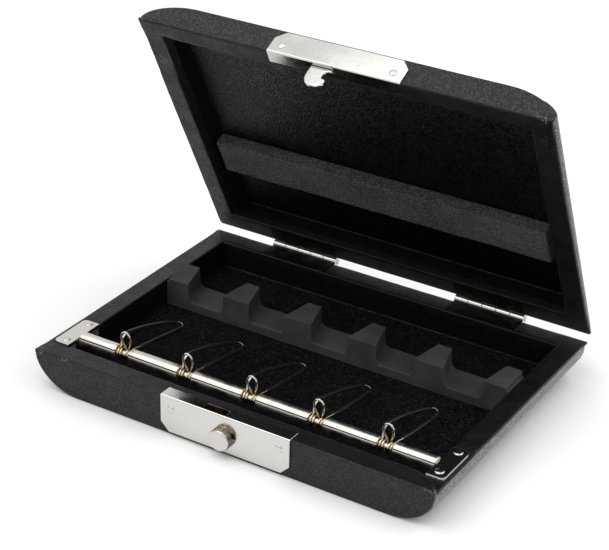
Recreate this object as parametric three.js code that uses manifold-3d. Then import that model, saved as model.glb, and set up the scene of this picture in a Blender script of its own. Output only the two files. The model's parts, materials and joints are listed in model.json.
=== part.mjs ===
// Bassoon reed case for five reeds, shown open.
//
// Two shallow leather-covered wooden trays are joined by a pair of butt hinges
// along the back edge.  A rod with spacer tubes spans the front of the lower
// tray and carries five sprung wire clips; a rubber rack across the back takes
// the reed tubes.  A plate latch with a sliding knurled knob closes the front.
//
// Frame: millimetres, +X to the right, +Y to the back, +Z up.  The origin is
// the middle of the flat underside.  The lid is modelled closed and turned
// about the hinge pins to its resting opening angle.

import * as THREE from 'three';
import { mergeVertices } from 'three/addons/utils/BufferGeometryUtils.js';
import Module from 'manifold-3d';

const wasm = await Module();
wasm.setup();

// -------------------------------------------------------- shared dimensions
// A pair [from, to] is a span along one axis.
const HALF_W = 120 / 2;      // case width along X
const HALF_D = 85.4 / 2;     // case depth along Y
const BASE_RIM_Z = 11.35;    // ground to the base's rim
const RIM_GAP = 0.4;         // between the two rims when closed
const LID_RIM_Z = BASE_RIM_Z + RIM_GAP;
const LID_H = 7.9;           // lid's rim to its top
const INNER_X = HALF_W - 5.8;             // inner face of the end walls, at the rim
const INNER_BACK_Y = HALF_D - 6.0;        // inner face of both back walls
const BASE_INNER_FRONT_Y = -HALF_D + 6.0;
const LID_INNER_FRONT_Y = -HALF_D + 5.1;
const LINING_TOP = 3.8;      // top of the flocked floor board
const LID_OPEN_DEG = 62.9;   // resting opening angle of the lid
const PLACES = [-2, -1, 0, 1, 2];         // the five reeds, counted from the middle

const FIT = 0.1;             // clearance round let-in parts
const LID_FIT = 0.06;        // seating gap of lid pieces
const CUT = 1;               // overrun of cutters past open faces
const HOLE_R = 0.5;          // nail, screw and rivet holes

// ---------------------------------------------------------------- materials
const material = (settings) => new THREE.MeshStandardMaterial(settings);
const LEATHER = material({ color: 0x1d1d1f, roughness: 0.55, metalness: 0 });
const FLOCK = material({ color: 0x131316, roughness: 0.95, metalness: 0 });
const PANEL = material({ color: 0x1b1b1d, roughness: 0.6, metalness: 0 });
const FOAM = material({ color: 0x45413c, roughness: 0.95, metalness: 0 });
const RUBBER = material({ color: 0x2c2a2a, roughness: 0.8, metalness: 0 });
const NICKEL = material({ color: 0xd9d6cf, roughness: 0.18, metalness: 1 });
const WIRE = material({ color: 0xc9bfa8, roughness: 0.25, metalness: 1 });
const SLEEVE = material({ color: 0x141414, roughness: 0.5, metalness: 0 });

// ------------------------------------------------------------ solid helpers
// Turns a closed geometry into a solid, facing its triangles outwards.
function solid(geometry) {
  geometry.deleteAttribute('normal');
  geometry.deleteAttribute('uv');
  const merged = mergeVertices(geometry, 1e-4);
  const index = new Uint32Array(merged.index.array);
  const make = () => new wasm.Manifold(new wasm.Mesh({
    numProp: 3,
    vertProperties: new Float32Array(merged.attributes.position.array),
    triVerts: index,
  }));
  const body = make();
  if (body.volume() >= 0) return body;
  for (let i = 0; i < index.length; i += 3) {
    [index[i], index[i + 1]] = [index[i + 1], index[i]];
  }
  return make();
}

function surface(body) {
  const mesh = body.getMesh();
  const geometry = new THREE.BufferGeometry();
  const positions = new Float32Array(mesh.vertProperties);
  geometry.setAttribute('position', new THREE.BufferAttribute(positions, 3));
  geometry.setIndex(new THREE.BufferAttribute(new Uint32Array(mesh.triVerts), 1));
  geometry.computeVertexNormals();
  return geometry;
}

const join = (bodies) => bodies.reduce((whole, part) => whole.add(part));
const cut = (body, tools) => tools.reduce((rest, tool) => rest.subtract(tool), body);

const grow = ([from, to], margin) => [from - margin, to + margin];

// X span between two distances from the middle, on the left (-1) or right (+1)
const sideSpan = (side, near, far) => (side > 0 ? [near, far] : [-far, -near]);

function box([x0, x1], [y0, y1], [z0, z1]) {
  const geometry = new THREE.BoxGeometry(x1 - x0, y1 - y0, z1 - z0);
  return solid(geometry.translate((x0 + x1) / 2, (y0 + y1) / 2, (z0 + z1) / 2));
}

// cylinder over a span of one axis, centred at (u, v) on the other two
function cylinder(axis, radius, [from, to], [u, v], segments) {
  const geometry = new THREE.CylinderGeometry(radius, radius, to - from, segments);
  geometry.translate(0, (from + to) / 2, 0);
  if (axis === 'x') geometry.rotateZ(-Math.PI / 2).translate(0, u, v);
  if (axis === 'y') geometry.translate(u, 0, v);
  if (axis === 'z') geometry.rotateX(Math.PI / 2).translate(u, v, 0);
  return solid(geometry);
}

const holes = (axis, span, centres) =>
  centres.map((centre) => cylinder(axis, HOLE_R, span, centre, 8));

const vectors2 = (points) => points.map(([x, y]) => new THREE.Vector2(x, y));

const extrude = (outline, depth) => new THREE.ExtrudeGeometry(
  new THREE.Shape(vectors2(outline)), { depth, bevelEnabled: false });

// outline in Y and Z, pushed along X
const prismX = (outline, [x0, x1]) => solid(extrude(outline, x1 - x0)
  .rotateY(Math.PI / 2).rotateX(Math.PI / 2).translate(x0, 0, 0));

// outline in X and Z, pushed along Y
const prismY = (outline, [y0, y1]) =>
  solid(extrude(outline, y1 - y0).rotateX(Math.PI / 2).translate(0, y1, 0));

// outline in X and Y, pushed along Z
const prismZ = (outline, [z0, z1]) => solid(extrude(outline, z1 - z0).translate(0, 0, z0));

// [radius, height] profile turned about the local Y axis
const turned = (profile, segments) => new THREE.LatheGeometry(vectors2(profile), segments);

// turned screw, nail or rivet; the tilt about X sends +height where the head faces
const HEAD_UP = Math.PI / 2, HEAD_DOWN = -Math.PI / 2, HEAD_FRONT = Math.PI;
const fastener = (profile, tilt, [x, y, z]) =>
  solid(turned(profile, 10).rotateX(tilt).translate(x, y, z));

// a curve read only at its stations, with tangents from the neighbours
class StationCurve extends THREE.Curve {
  constructor(stations) {
    super();
    this.stations = stations;
    this.last = stations.length - 1;
  }

  getPointAt(u, target = new THREE.Vector3()) {
    return target.copy(this.stations[Math.round(u * this.last)]);
  }

  getTangentAt(u, target = new THREE.Vector3()) {
    const i = Math.round(u * this.last);
    const next = this.stations[Math.min(i + 1, this.last)];
    const previous = this.stations[Math.max(i - 1, 0)];
    return target.copy(next).sub(previous).normalize();
  }
}

// round wire (or tube, when bore > 0) through [x, y, z] stations
function wire(stations, radius, sides, bore = 0) {
  const ring = (r) => Array.from({ length: sides }, (_, i) => {
    const angle = (i / sides) * Math.PI * 2;
    return new THREE.Vector2(r * Math.cos(angle), r * Math.sin(angle));
  });
  const shape = new THREE.Shape(ring(radius));
  if (bore > 0) shape.holes.push(new THREE.Path(ring(bore)));
  return solid(new THREE.ExtrudeGeometry(shape, {
    steps: stations.length - 1,
    bevelEnabled: false,
    extrudePath: new StationCurve(stations.map((station) => new THREE.Vector3(...station))),
  }));
}

// angles from 0 to 90 degrees in equal steps
const quarterAngles = (steps) =>
  Array.from({ length: steps + 1 }, (_, i) => (i / steps) * Math.PI / 2);

// closes the right half of an [x, z] outline with its mirror image
const mirrored = (right) => [...right, ...right.map(([x, z]) => [-x, z]).reverse()];

// ----------------------------------------------------------------- assembly
const root = new THREE.Group();
root.name = 'reed_case';

const PIN_Y = HALF_D + 1.8;  // hinge pin line
const PIN_Z = BASE_RIM_Z + RIM_GAP / 2;

const lid = new THREE.Group();
lid.name = 'lid';
lid.position.set(0, PIN_Y, PIN_Z);
lid.rotation.x = -LID_OPEN_DEG * Math.PI / 180;

function addMesh(parent, name, geometry, meshMaterial) {
  const mesh = new THREE.Mesh(geometry, meshMaterial);
  mesh.name = name;
  parent.add(mesh);
}

const place = (name, body, meshMaterial, parent = root) =>
  addMesh(parent, name, surface(body), meshMaterial);

// a piece laid out in the closed position and hung on the pins
const hang = (name, body, meshMaterial) =>
  addMesh(lid, name, surface(body).translate(0, -PIN_Y, -PIN_Z), meshMaterial);

const SIDES = [['left', -1], ['right', 1]];

// ------------------------------------ layout shared by shells and fittings
const HINGE_X = 30.2;        // centre of each hinge, left and right
const HINGE_LEN = 21.4;
const LEAF_T = 0.45;
const LEAF_FRONT_Y = 37.6;
const NAIL_OFFSET_X = 6.6, NAIL_Y = 40.2;
const leafSpan = (side) => grow([side * HINGE_X, side * HINGE_X], HINGE_LEN / 2);
const nailCentres = (side) =>
  [-1, 1].map((end) => [side * HINGE_X + end * NAIL_OFFSET_X, NAIL_Y]);

const ROD_Y = -30.7, ROD_Z = 10.4;
const BRACKET_Y = [-37.0, -23.4];
const BRACKET_T = 0.8;
const BRACKET_OUTER_X = HALF_W - 1.0;
const TAB_Y = [ROD_Y - 2.4, ROD_Y + 2.4];
const screwCentres = (side) => [-24.9, -34.6].map((y) => [side * 56.6, y]);

const PLATE_HALF_W = 19.5;   // latch plates
const PLATE_T = 0.5;
const FLANGE_BACK_Y = -HALF_D + 3.5;
const FLANGE_SINK = 0.25;    // flange let into its rim
const FLANGE_PROUD = 0.15;   // flange standing proud of its rim
const rivetCentres = (z) => [[-16.3, z], [16.3, z]];
const BASE_RIVETS = rivetCentres(7.8);
const LID_RIVETS = rivetCentres(LID_RIM_Z + 2.5);
const RIVET_HOLE_Y = [-HALF_D - CUT, -HALF_D + 3.2];
const HOOK_Y = [-41.9, -40.9];

const FLANGE_SEAT_X = grow([-PLATE_HALF_W, PLATE_HALF_W], FIT);
const FLANGE_SEAT_Y = [-HALF_D - CUT, FLANGE_BACK_Y + FIT];
const LEAF_SEAT_Y = [LEAF_FRONT_Y - FIT, HALF_D + CUT];

// --------------------------------------------------------------- base shell
const BASE_FLOOR = 2.6;      // wooden floor thickness
const BASE_END_A = 13.0, BASE_END_B = 9.6;   // half axes of the curved ends
const END_STEPS = 11;        // steps round each curved end, base and lid

// base seen from the front: straight rim, curved ends, flat underside
function baseOutline() {
  const end = quarterAngles(END_STEPS).map((angle) => [
    HALF_W - BASE_END_A + BASE_END_A * Math.sin(angle),
    BASE_END_B * (1 - Math.cos(angle)),
  ]);
  return mirrored([...end, [HALF_W, BASE_RIM_Z]]);
}

function baseShell() {
  const overRim = BASE_RIM_Z + CUT;
  return cut(prismY(baseOutline(), [-HALF_D, HALF_D]), [
    box([-INNER_X, INNER_X], [BASE_INNER_FRONT_Y, INNER_BACK_Y], [BASE_FLOOR, overRim]),
    // pocket for the latch slider, open to the front face and to the rim
    box([-9, 13.4], [-HALF_D - CUT, -HALF_D + 3.4], [3.0, overRim]),
    // step for the latch plate's flange
    box(FLANGE_SEAT_X, FLANGE_SEAT_Y, [BASE_RIM_Z - FLANGE_SINK, overRim]),
    ...[-1, 1].flatMap((side) => [
      box(grow(leafSpan(side), FIT), LEAF_SEAT_Y, [BASE_RIM_Z - LEAF_T, overRim]),
      ...holes('z', [BASE_RIM_Z - 4.6, BASE_RIM_Z], nailCentres(side)),
      // seat for the rod bracket, with a narrow border of leather left outside it
      box(sideSpan(side, INNER_X - FIT, BRACKET_OUTER_X + FIT), grow(BRACKET_Y, FIT),
        [BASE_RIM_Z - BRACKET_T, overRim]),
      // notch in the inner wall for the bracket's tab and the rod's end
      box(sideSpan(side, INNER_X - FIT, INNER_X + 1.7), grow(TAB_Y, 0.2), [8.0, BASE_RIM_Z]),
      ...holes('z', [BASE_RIM_Z - 5.6, BASE_RIM_Z], screwCentres(side)),
    ]),
    ...holes('y', RIVET_HOLE_Y, BASE_RIVETS),
  ]);
}

const floorLining = () => box(grow([-INNER_X, INNER_X], -FIT),
  grow([BASE_INNER_FRONT_Y, INNER_BACK_Y], -FIT), [BASE_FLOOR, LINING_TOP]);

place('base_shell', baseShell(), LEATHER);
place('base_floor_lining', floorLining(), FLOCK);

// ---------------------------------------------------------------- reed rack
const RACK_FRONT_Y = 7.8, RACK_BACK_Y = 17.0;
const RACK_PITCH = 20.4;     // tooth to tooth
const RACK_TOP_FRONT = 12.05, RACK_TOP_REAR = 12.85;
const NOTCH_HALF_FRONT = (RACK_PITCH - 9.0) / 2;   // pitch less the tooth's front width
const NOTCH_HALF_REAR = (RACK_PITCH - 4.5) / 2;    // pitch less the tooth's rear width
const NOTCH_FLOOR_FRONT = 6.5, NOTCH_FLOOR_REAR = 7.0;
const NOTCH_CORNER_R = 2.0;
const NOTCH_OVERRUN = 0.6;   // cutter past the rack's front and back faces
const NOTCH_CUTTER_TOP = 20;

// cross-section of a notch at one y: flat floor with rounded lower corners
function notchSection(middle, halfWidth, y, floor) {
  const corner = (side) => quarterAngles(3).map((angle) => [
    middle + side * (halfWidth - NOTCH_CORNER_R * (1 - Math.cos(angle))),
    y,
    floor + NOTCH_CORNER_R * (1 - Math.sin(angle)),
  ]);
  return [
    [middle + halfWidth + 0.4, y, NOTCH_CUTTER_TOP],
    [middle - halfWidth - 0.4, y, NOTCH_CUTTER_TOP],
    ...corner(-1),
    ...corner(1).reverse(),
  ];
}

// solid skinned between two sections with equal numbers of points
function loft(front, back) {
  const count = front.length;
  const index = [];
  for (let i = 0; i < count; i++) {
    const next = (i + 1) % count;
    index.push(i, next, count + i, next, count + next, count + i);
  }
  for (let i = 1; i < count - 1; i++) {
    index.push(0, i + 1, i, count, count + i, count + i + 1);
  }
  const geometry = new THREE.BufferGeometry();
  const positions = new Float32Array([...front, ...back].flat());
  geometry.setAttribute('position', new THREE.BufferAttribute(positions, 3));
  geometry.setIndex(index);
  return solid(geometry);
}

// trough that widens to the back, and the chamfer along the front of its floor
function notchCutters(middle) {
  const spread = (NOTCH_HALF_REAR - NOTCH_HALF_FRONT)
    * NOTCH_OVERRUN / (RACK_BACK_Y - RACK_FRONT_Y);
  const trough = loft(
    notchSection(middle, NOTCH_HALF_FRONT - spread, RACK_FRONT_Y - NOTCH_OVERRUN,
      NOTCH_FLOOR_FRONT),
    notchSection(middle, NOTCH_HALF_REAR + spread, RACK_BACK_Y + NOTCH_OVERRUN,
      NOTCH_FLOOR_REAR));
  const chamfer = prismX([
    [RACK_FRONT_Y - 1, NOTCH_FLOOR_FRONT - 1.0],
    [RACK_FRONT_Y + 1, NOTCH_FLOOR_FRONT + 0.6],
    [RACK_FRONT_Y - 1, NOTCH_FLOOR_FRONT + 1.6],
  ], grow([middle, middle], NOTCH_HALF_FRONT - 0.7));
  return [trough, chamfer];
}

function reedRack() {
  // side outline in Y and Z, the top sloping up to the back
  const outline = [[RACK_FRONT_Y, LINING_TOP], [RACK_BACK_Y, LINING_TOP],
    [RACK_BACK_Y, RACK_TOP_REAR], [RACK_FRONT_Y, RACK_TOP_FRONT]];
  return cut(prismX(outline, grow([-INNER_X, INNER_X], -0.15)), [
    // the end teeth step in above the rim, clear of the lid's leaning end walls
    ...[-1, 1].map((side) => box(sideSpan(side, INNER_X - 0.8, INNER_X + CUT),
      grow([RACK_FRONT_Y, RACK_BACK_Y], CUT), [BASE_RIM_Z - 0.2, RACK_TOP_REAR + CUT])),
    ...PLACES.flatMap((k) => notchCutters(k * RACK_PITCH)),
  ]);
}

place('reed_rack', reedRack(), RUBBER);

// -------------------------------------------------------------- rod fixings
const ROD_R = 0.9, JOURNAL_R = 0.5;
const ROD_HALF_L = INNER_X - 0.05;
const JOURNAL_END_X = INNER_X + 0.75;
const SPACER_R = 1.75, SPACER_BORE_R = 1.05, SPACER_CHAMFER = 0.18;
const CLIP_GAP = 4.3;        // bare length of rod at each clip
const CLIP_XS = PLACES.map((k) => k * 20);

// [radius, height]: low round head on a plain shank
const SCREW_PROFILE = [[0, -5.2], [0.4, -5.0], [0.4, 0], [1.2, 0], [1.1, 0.14],
  [0.7, 0.27], [0, 0.32]];

function rodBracket(side) {
  const [y0, y1] = BRACKET_Y;
  const corner = 1.2;
  const plan = [
    [INNER_X, y0], [BRACKET_OUTER_X - corner, y0], [BRACKET_OUTER_X, y0 + corner],
    [BRACKET_OUTER_X, y1 - corner], [BRACKET_OUTER_X - corner, y1], [INNER_X, y1],
  ].map(([x, y]) => [side * x, y]);
  // tab folded down the inner wall, bored for the rod's end
  const tabX = sideSpan(side, INNER_X, INNER_X + BRACKET_T);
  return cut(join([
    prismZ(plan, [BASE_RIM_Z - BRACKET_T, BASE_RIM_Z]),
    box(tabX, TAB_Y, [8.4, BASE_RIM_Z - 0.2]),
  ]), [
    cylinder('x', JOURNAL_R + 0.08, grow(tabX, CUT), [ROD_Y, ROD_Z], 14),
    ...holes('z', [BASE_RIM_Z - 2, BASE_RIM_Z + CUT], screwCentres(side)),
  ]);
}

const rodCore = () => join([[ROD_R, ROD_HALF_L], [JOURNAL_R, JOURNAL_END_X]]
  .map(([radius, half]) => cylinder('x', radius, [-half, half], [ROD_Y, ROD_Z], 14)));

// tube with chamfered ends
function spacer(x0, x1) {
  const shoulder = SPACER_R - SPACER_CHAMFER;
  const profile = [
    [SPACER_BORE_R, x0], [shoulder, x0], [SPACER_R, x0 + SPACER_CHAMFER],
    [SPACER_R, x1 - SPACER_CHAMFER], [shoulder, x1], [SPACER_BORE_R, x1],
    [SPACER_BORE_R, x0],
  ];
  return solid(turned(profile, 16).rotateZ(-Math.PI / 2).translate(0, ROD_Y, ROD_Z));
}

for (const [tag, side] of SIDES) {
  place(`rod_bracket_${tag}`, rodBracket(side), NICKEL);
  screwCentres(side).forEach((centre, i) => place(`bracket_screw_${tag}_${i + 1}`,
    fastener(SCREW_PROFILE, HEAD_UP, [...centre, BASE_RIM_Z]), NICKEL));
}
place('rod_core', rodCore(), NICKEL);

const spacerEnds = [-ROD_HALF_L, ...CLIP_XS.flatMap((x) => grow([x, x], CLIP_GAP / 2)),
  ROD_HALF_L];
for (let i = 0; i < spacerEnds.length / 2; i++) {
  place(`rod_spacer_${i + 1}`, spacer(spacerEnds[2 * i], spacerEnds[2 * i + 1]), NICKEL);
}

// -------------------------------------------------------------------- clips
// Each clip is one spring wire: hairpin leg, coil, finger loop, coil, hairpin leg.
// Stations are [x, y, z] about the rod's axis, with the clip's own middle at x = 0.
const WIRE_R = 0.29;
const SLEEVE_R = 0.54, SLEEVE_BORE_R = 0.4;
const COIL_R = 1.3;          // centre line radius
const COIL_TURNS = 1.75;     // turns each side of the finger loop
const COIL_STEPS_PER_TURN = 10;
const COIL_OUTER_X = 1.72, COIL_INNER_X = 0.38;

// legs, from the hairpin's end to the coil
const LEFT_LEG = [
  [-1.1, 24.2, -1.45], [-1.28, 21.0, -0.5], [-1.6, 16.0, 0.95], [-1.88, 10.2, 2.55],
  [-1.95, 6.3, 3.3], [-1.9, 4.3, 3.3], [-1.8, 2.7, 2.65], [-1.74, 1.2, 1.6],
];
const RIGHT_LEG = [
  [1.15, 24.2, -1.5], [1.5, 22.0, -1.3], [2.0, 18.0, -0.85], [2.3, 13.0, -0.2],
  [2.35, 8.0, 0.42], [2.15, 4.2, 0.95], [1.85, 1.8, 1.25],
];
// right half of the finger loop, from the coil up
const LOOP_RIGHT = [
  [0.4, 1.28, 1.3], [0.62, 1.05, 2.5], [1.05, 0.75, 3.7], [1.34, 0.4, 4.7],
  [1.28, 0.12, 5.5], [0.8, -0.08, 6.1],
];
const LOOP_TOP = [0, -0.12, 6.32];
// rounded end of the hairpin, lapping both legs
const HAIRPIN_END = [
  [-1.16, 23.2, -1.153], LEFT_LEG[0], [-1.04, 24.8, -1.6], [-0.72, 25.45, -1.76],
  [0, 25.75, -1.82], [0.74, 25.45, -1.78], [1.08, 24.8, -1.64], RIGHT_LEG[0],
  [1.309, 23.2, -1.4091],
];

// from the outer end inwards, starting on top and moving to the front
function coil(side) {
  const steps = Math.round(COIL_TURNS * COIL_STEPS_PER_TURN);
  return Array.from({ length: steps + 1 }, (_, i) => {
    const part = i / steps;
    const angle = part * COIL_TURNS * 2 * Math.PI;
    const x = side * (COIL_OUTER_X + (COIL_INNER_X - COIL_OUTER_X) * part);
    return [x, -COIL_R * Math.sin(angle), COIL_R * Math.cos(angle)];
  });
}

function clipWire() {
  const stations = [
    ...LEFT_LEG, ...coil(-1),
    ...LOOP_RIGHT.map(([x, y, z]) => [-x, y, z]), LOOP_TOP, ...LOOP_RIGHT.toReversed(),
    ...coil(1).reverse(), ...RIGHT_LEG.toReversed(),
  ];
  // the lapping end is slightly thinner, so that the faces do not coincide
  return join([wire(stations, WIRE_R, 6), wire(HAIRPIN_END, WIRE_R - 0.004, 6)]);
}

// insulating sleeve over a leg, leaving the hairpin's end bare
const clipSleeve = (leg) => wire(leg.slice(1, -1), SLEEVE_R, 6, SLEEVE_BORE_R);

CLIP_XS.forEach((x, i) => {
  const clip = new THREE.Group();
  clip.position.set(x, ROD_Y, ROD_Z);
  root.add(clip);
  place(`clip_${i + 1}_wire`, clipWire(), WIRE, clip);
  place(`clip_${i + 1}_sleeve_left`, clipSleeve(LEFT_LEG), SLEEVE, clip);
  place(`clip_${i + 1}_sleeve_right`, clipSleeve(RIGHT_LEG), SLEEVE, clip);
});

// --------------------------------------------------------- latch, base half
const PLATE_CORNER = 2.5;    // cut corners of both latch plates
const SLIDER_Y = [-HALF_D + 0.15, -HALF_D + 1.8];
const KNOB_X = 0.8, KNOB_Z = 6.5, KNOB_R = 2.6, KNOB_LEN = 2.8;
const KNOB_RIBS = 20;

// [x, z]: bar behind the plate with a tooth that enters the hook's notch
const SLIDER_OUTLINE = [[0.3, 4.4], [7.6, 4.4], [7.6, 8.5], [2.6, 8.5], [2.6, 10.3],
  [-1.2, 10.3], [-1.2, 8.75], [0.3, 8.75]];

// [fraction of a rib's pitch, radius]
const RIB_PROFILE = [[0, KNOB_R], [0.42, KNOB_R], [0.58, KNOB_R - 0.16],
  [0.84, KNOB_R - 0.16]];

function latchPlateBase() {
  const half = PLATE_HALF_W, corner = PLATE_CORNER;
  const bottom = 1.0, top = BASE_RIM_Z + FLANGE_PROUD;
  const outline = [[-half + corner, bottom], [half - corner, bottom],
    [half, bottom + corner], [half, top], [-half, top], [-half, bottom + corner]];
  const throughFace = grow([-HALF_D, -HALF_D], CUT);
  return cut(join([
    prismY(outline, [-HALF_D - PLATE_T, -HALF_D]),
    box([-half, half], [-HALF_D - PLATE_T, FLANGE_BACK_Y], [BASE_RIM_Z - FLANGE_SINK, top]),
  ]), [
    // hook slot in the flange and knob slot in the face
    box([-6.7, 0.1], [-42.5, -40.2], grow([BASE_RIM_Z, BASE_RIM_Z], CUT)),
    box([0, 3.4], throughFace, [KNOB_Z - 0.8, KNOB_Z + 0.8]),
    ...holes('y', throughFace, BASE_RIVETS),
  ]);
}

// rivet with a low round head seated at the given height
const latchRivet = (seat, [x, z], y) => fastener([
  [0, -3.0], [0.4, -3.0], [0.4, seat], [1.1, seat], [1.0, seat + 0.22],
  [0.6, seat + 0.38], [0, seat + 0.42],
], HEAD_FRONT, [x, y, z]);

// knob with a ribbed edge and a stud through the plate's slot
function latchKnob() {
  const ribbed = [];
  for (let i = 0; i < KNOB_RIBS; i++) {
    for (const [part, radius] of RIB_PROFILE) {
      const angle = ((i + part) / KNOB_RIBS) * Math.PI * 2;
      ribbed.push([KNOB_X + radius * Math.cos(angle), KNOB_Z + radius * Math.sin(angle)]);
    }
  }
  const back = -HALF_D - PLATE_T - 0.1, front = back - KNOB_LEN;
  const centre = [KNOB_X, KNOB_Z];
  return join([
    prismY(ribbed, [front + 0.35, back]),
    cylinder('y', KNOB_R - 0.3, [front, back - 0.1], centre, 24),
    cylinder('y', 0.72, [front + 1, SLIDER_Y[0]], centre, 12),
  ]);
}

// return spring between the slider and the end of the pocket
function latchSpring() {
  const turns = 4.5, steps = turns * 8;
  const x0 = 7.95, x1 = 13.0, y = -41.05, z = 6.4, radius = 1.0;
  const stations = Array.from({ length: steps + 1 }, (_, i) => {
    const part = i / steps;
    const angle = part * turns * 2 * Math.PI;
    return [x0 + (x1 - x0) * part, y + radius * Math.cos(angle), z + radius * Math.sin(angle)];
  });
  return wire(stations, 0.18, 5);
}

place('latch_plate_base', latchPlateBase(), NICKEL);
BASE_RIVETS.forEach((centre, i) =>
  place(`latch_rivet_base_${i + 1}`, latchRivet(PLATE_T, centre, -HALF_D), NICKEL));
place('latch_slider', prismY(SLIDER_OUTLINE, SLIDER_Y), NICKEL);
place('latch_knob', latchKnob(), NICKEL);
place('latch_spring', latchSpring(), WIRE);

// ------------------------------------------------------------------- hinges
const BARREL_R = 1.35, BARREL_BORE_R = 0.72, PIN_R = 0.6;
const KNUCKLES = 5, KNUCKLE_GAP = 0.12;
const KNUCKLE_LEN = (HINGE_LEN - KNUCKLE_GAP * (KNUCKLES - 1)) / KNUCKLES;
const SINK_R = 0.95, SINK_DEPTH = 0.25;      // countersinks

// [radius, height]
const NAIL_PROFILE = [[0, -4.2], [0.38, -3.6], [0.38, -0.22], [0.85, -0.22],
  [0.85, -0.04], [0, 0]];

// the base leaf has the even knuckles and the lid leaf the odd ones
function hingeLeaf(side, forLid) {
  const span = leafSpan(side);
  const z0 = forLid ? LID_RIM_Z : BASE_RIM_Z - LEAF_T;
  const z1 = z0 + LEAF_T;
  const parts = [box(span, [LEAF_FRONT_Y, 42.85], [z0, z1])];
  for (let k = forLid ? 1 : 0; k < KNUCKLES; k += 2) {
    const start = span[0] + k * (KNUCKLE_LEN + KNUCKLE_GAP);
    const knuckle = [start, start + KNUCKLE_LEN];
    parts.push(box(knuckle, [42.6, 43.7], [z0, z1]));
    parts.push(cylinder('x', BARREL_R, knuckle, [PIN_Y, PIN_Z], 14));
  }
  // countersinks open to the face that shows when the case is open
  const sink = forLid ? [z0 - CUT, z0 + SINK_DEPTH] : [z1 - SINK_DEPTH, z1 + CUT];
  return cut(join(parts), [
    cylinder('x', BARREL_BORE_R, grow(span, CUT), [PIN_Y, PIN_Z], 12),
    ...holes('z', grow([z0, z1], CUT), nailCentres(side)),
    ...nailCentres(side).map((centre) => cylinder('z', SINK_R, sink, centre, 12)),
  ]);
}

const hingePin = (side) =>
  cylinder('x', PIN_R, grow(leafSpan(side), 0.15), [PIN_Y, PIN_Z], 12);

for (const [tag, side] of SIDES) {
  place(`hinge_leaf_base_${tag}`, hingeLeaf(side, false), NICKEL);
  place(`hinge_pin_${tag}`, hingePin(side), NICKEL);
  nailCentres(side).forEach((centre, i) => place(`hinge_nail_base_${tag}_${i + 1}`,
    fastener(NAIL_PROFILE, HEAD_UP, [...centre, BASE_RIM_Z]), NICKEL));
}

// ---------------------------------------------------------------------- lid
root.add(lid);

const LID_END_A = 14.5, LID_END_B = 7.6;     // half axes of the curved ends
const CEILING_DEPTH = 5.98;  // lid rim to the face of the ceiling panel
const CEILING_Z = LID_RIM_Z + CEILING_DEPTH;
const FOAM_T = 4.05, FOAM_HALF_L = 51.4;

// closed lid seen from the front: straight rim, curved ends, flat top
function lidOutline() {
  const end = quarterAngles(END_STEPS).map((angle) => [
    HALF_W - LID_END_A + LID_END_A * Math.cos(angle),
    LID_RIM_Z + LID_H - LID_END_B + LID_END_B * Math.sin(angle),
  ]);
  return mirrored([[HALF_W, LID_RIM_Z], ...end]);
}

// half width of the hollow, whose end walls lean inwards
const hollowHalfWidth = (z) => INNER_X - 2.6 * (z - LID_RIM_Z) / CEILING_DEPTH;

function lidShell() {
  const underRim = LID_RIM_Z - CUT;
  const deep = CEILING_Z + 0.55;
  const wide = hollowHalfWidth(underRim), narrow = hollowHalfWidth(deep);
  const hollow = [[-wide, underRim], [wide, underRim], [narrow, deep], [-narrow, deep]];
  return cut(prismY(lidOutline(), [-HALF_D, HALF_D]), [
    prismY(hollow, [LID_INNER_FRONT_Y, INNER_BACK_Y]),
    box(FLANGE_SEAT_X, FLANGE_SEAT_Y, [underRim, LID_RIM_Z + FLANGE_SINK + LID_FIT]),
    // seat for the hook's root
    box([-8.4, 2.0], grow(HOOK_Y, 0.3), [underRim, LID_RIM_Z + 1.5]),
    ...[-1, 1].flatMap((side) => [
      box(grow(leafSpan(side), FIT), LEAF_SEAT_Y, [underRim, LID_RIM_Z + LEAF_T + LID_FIT]),
      ...holes('z', [LID_RIM_Z, LID_RIM_Z + 4.6], nailCentres(side)),
    ]),
    ...holes('y', RIVET_HOLE_Y, LID_RIVETS),
  ]);
}

function ceilingPanel() {
  const half = hollowHalfWidth(CEILING_Z) - 0.35;
  return box([-half, half], grow([LID_INNER_FRONT_Y, INNER_BACK_Y], -FIT),
    [CEILING_Z, CEILING_Z + 0.45]);
}

const foamStrip = () => box([-FOAM_HALF_L, FOAM_HALF_L], [5.4, 17.6],
  [CEILING_Z - LID_FIT - FOAM_T, CEILING_Z - LID_FIT]);

hang('lid_shell', lidShell(), LEATHER);
hang('lid_ceiling_panel', ceilingPanel(), PANEL);
hang('lid_foam_strip', foamStrip(), FOAM);

// ---------------------------------------------------------- latch, lid half
// [x, height above the lid's rim]: tongue with a notch in its right edge and a
// rounded nose
const HOOK_OUTLINE = [
  [-8.1, 0.32], [-6.3, 0.32], [-6.3, -0.6], [-6.2, -3.9], [-5.9, -4.9], [-5.2, -5.7],
  [-4.2, -6.2], [-3.0, -6.4], [-1.8, -6.25], [-0.9, -5.75], [-0.35, -5.0], [-0.2, -4.3],
  [-0.35, -3.75], [-0.8, -3.5], [-1.5, -3.4], [-1.8, -2.9], [-1.8, -2.1],
  [-1.55, -1.35], [-0.9, -0.95], [-0.15, -0.8], [-0.1, 0.32], [1.7, 0.32],
  [1.7, 1.25], [-8.1, 1.25],
];

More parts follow.
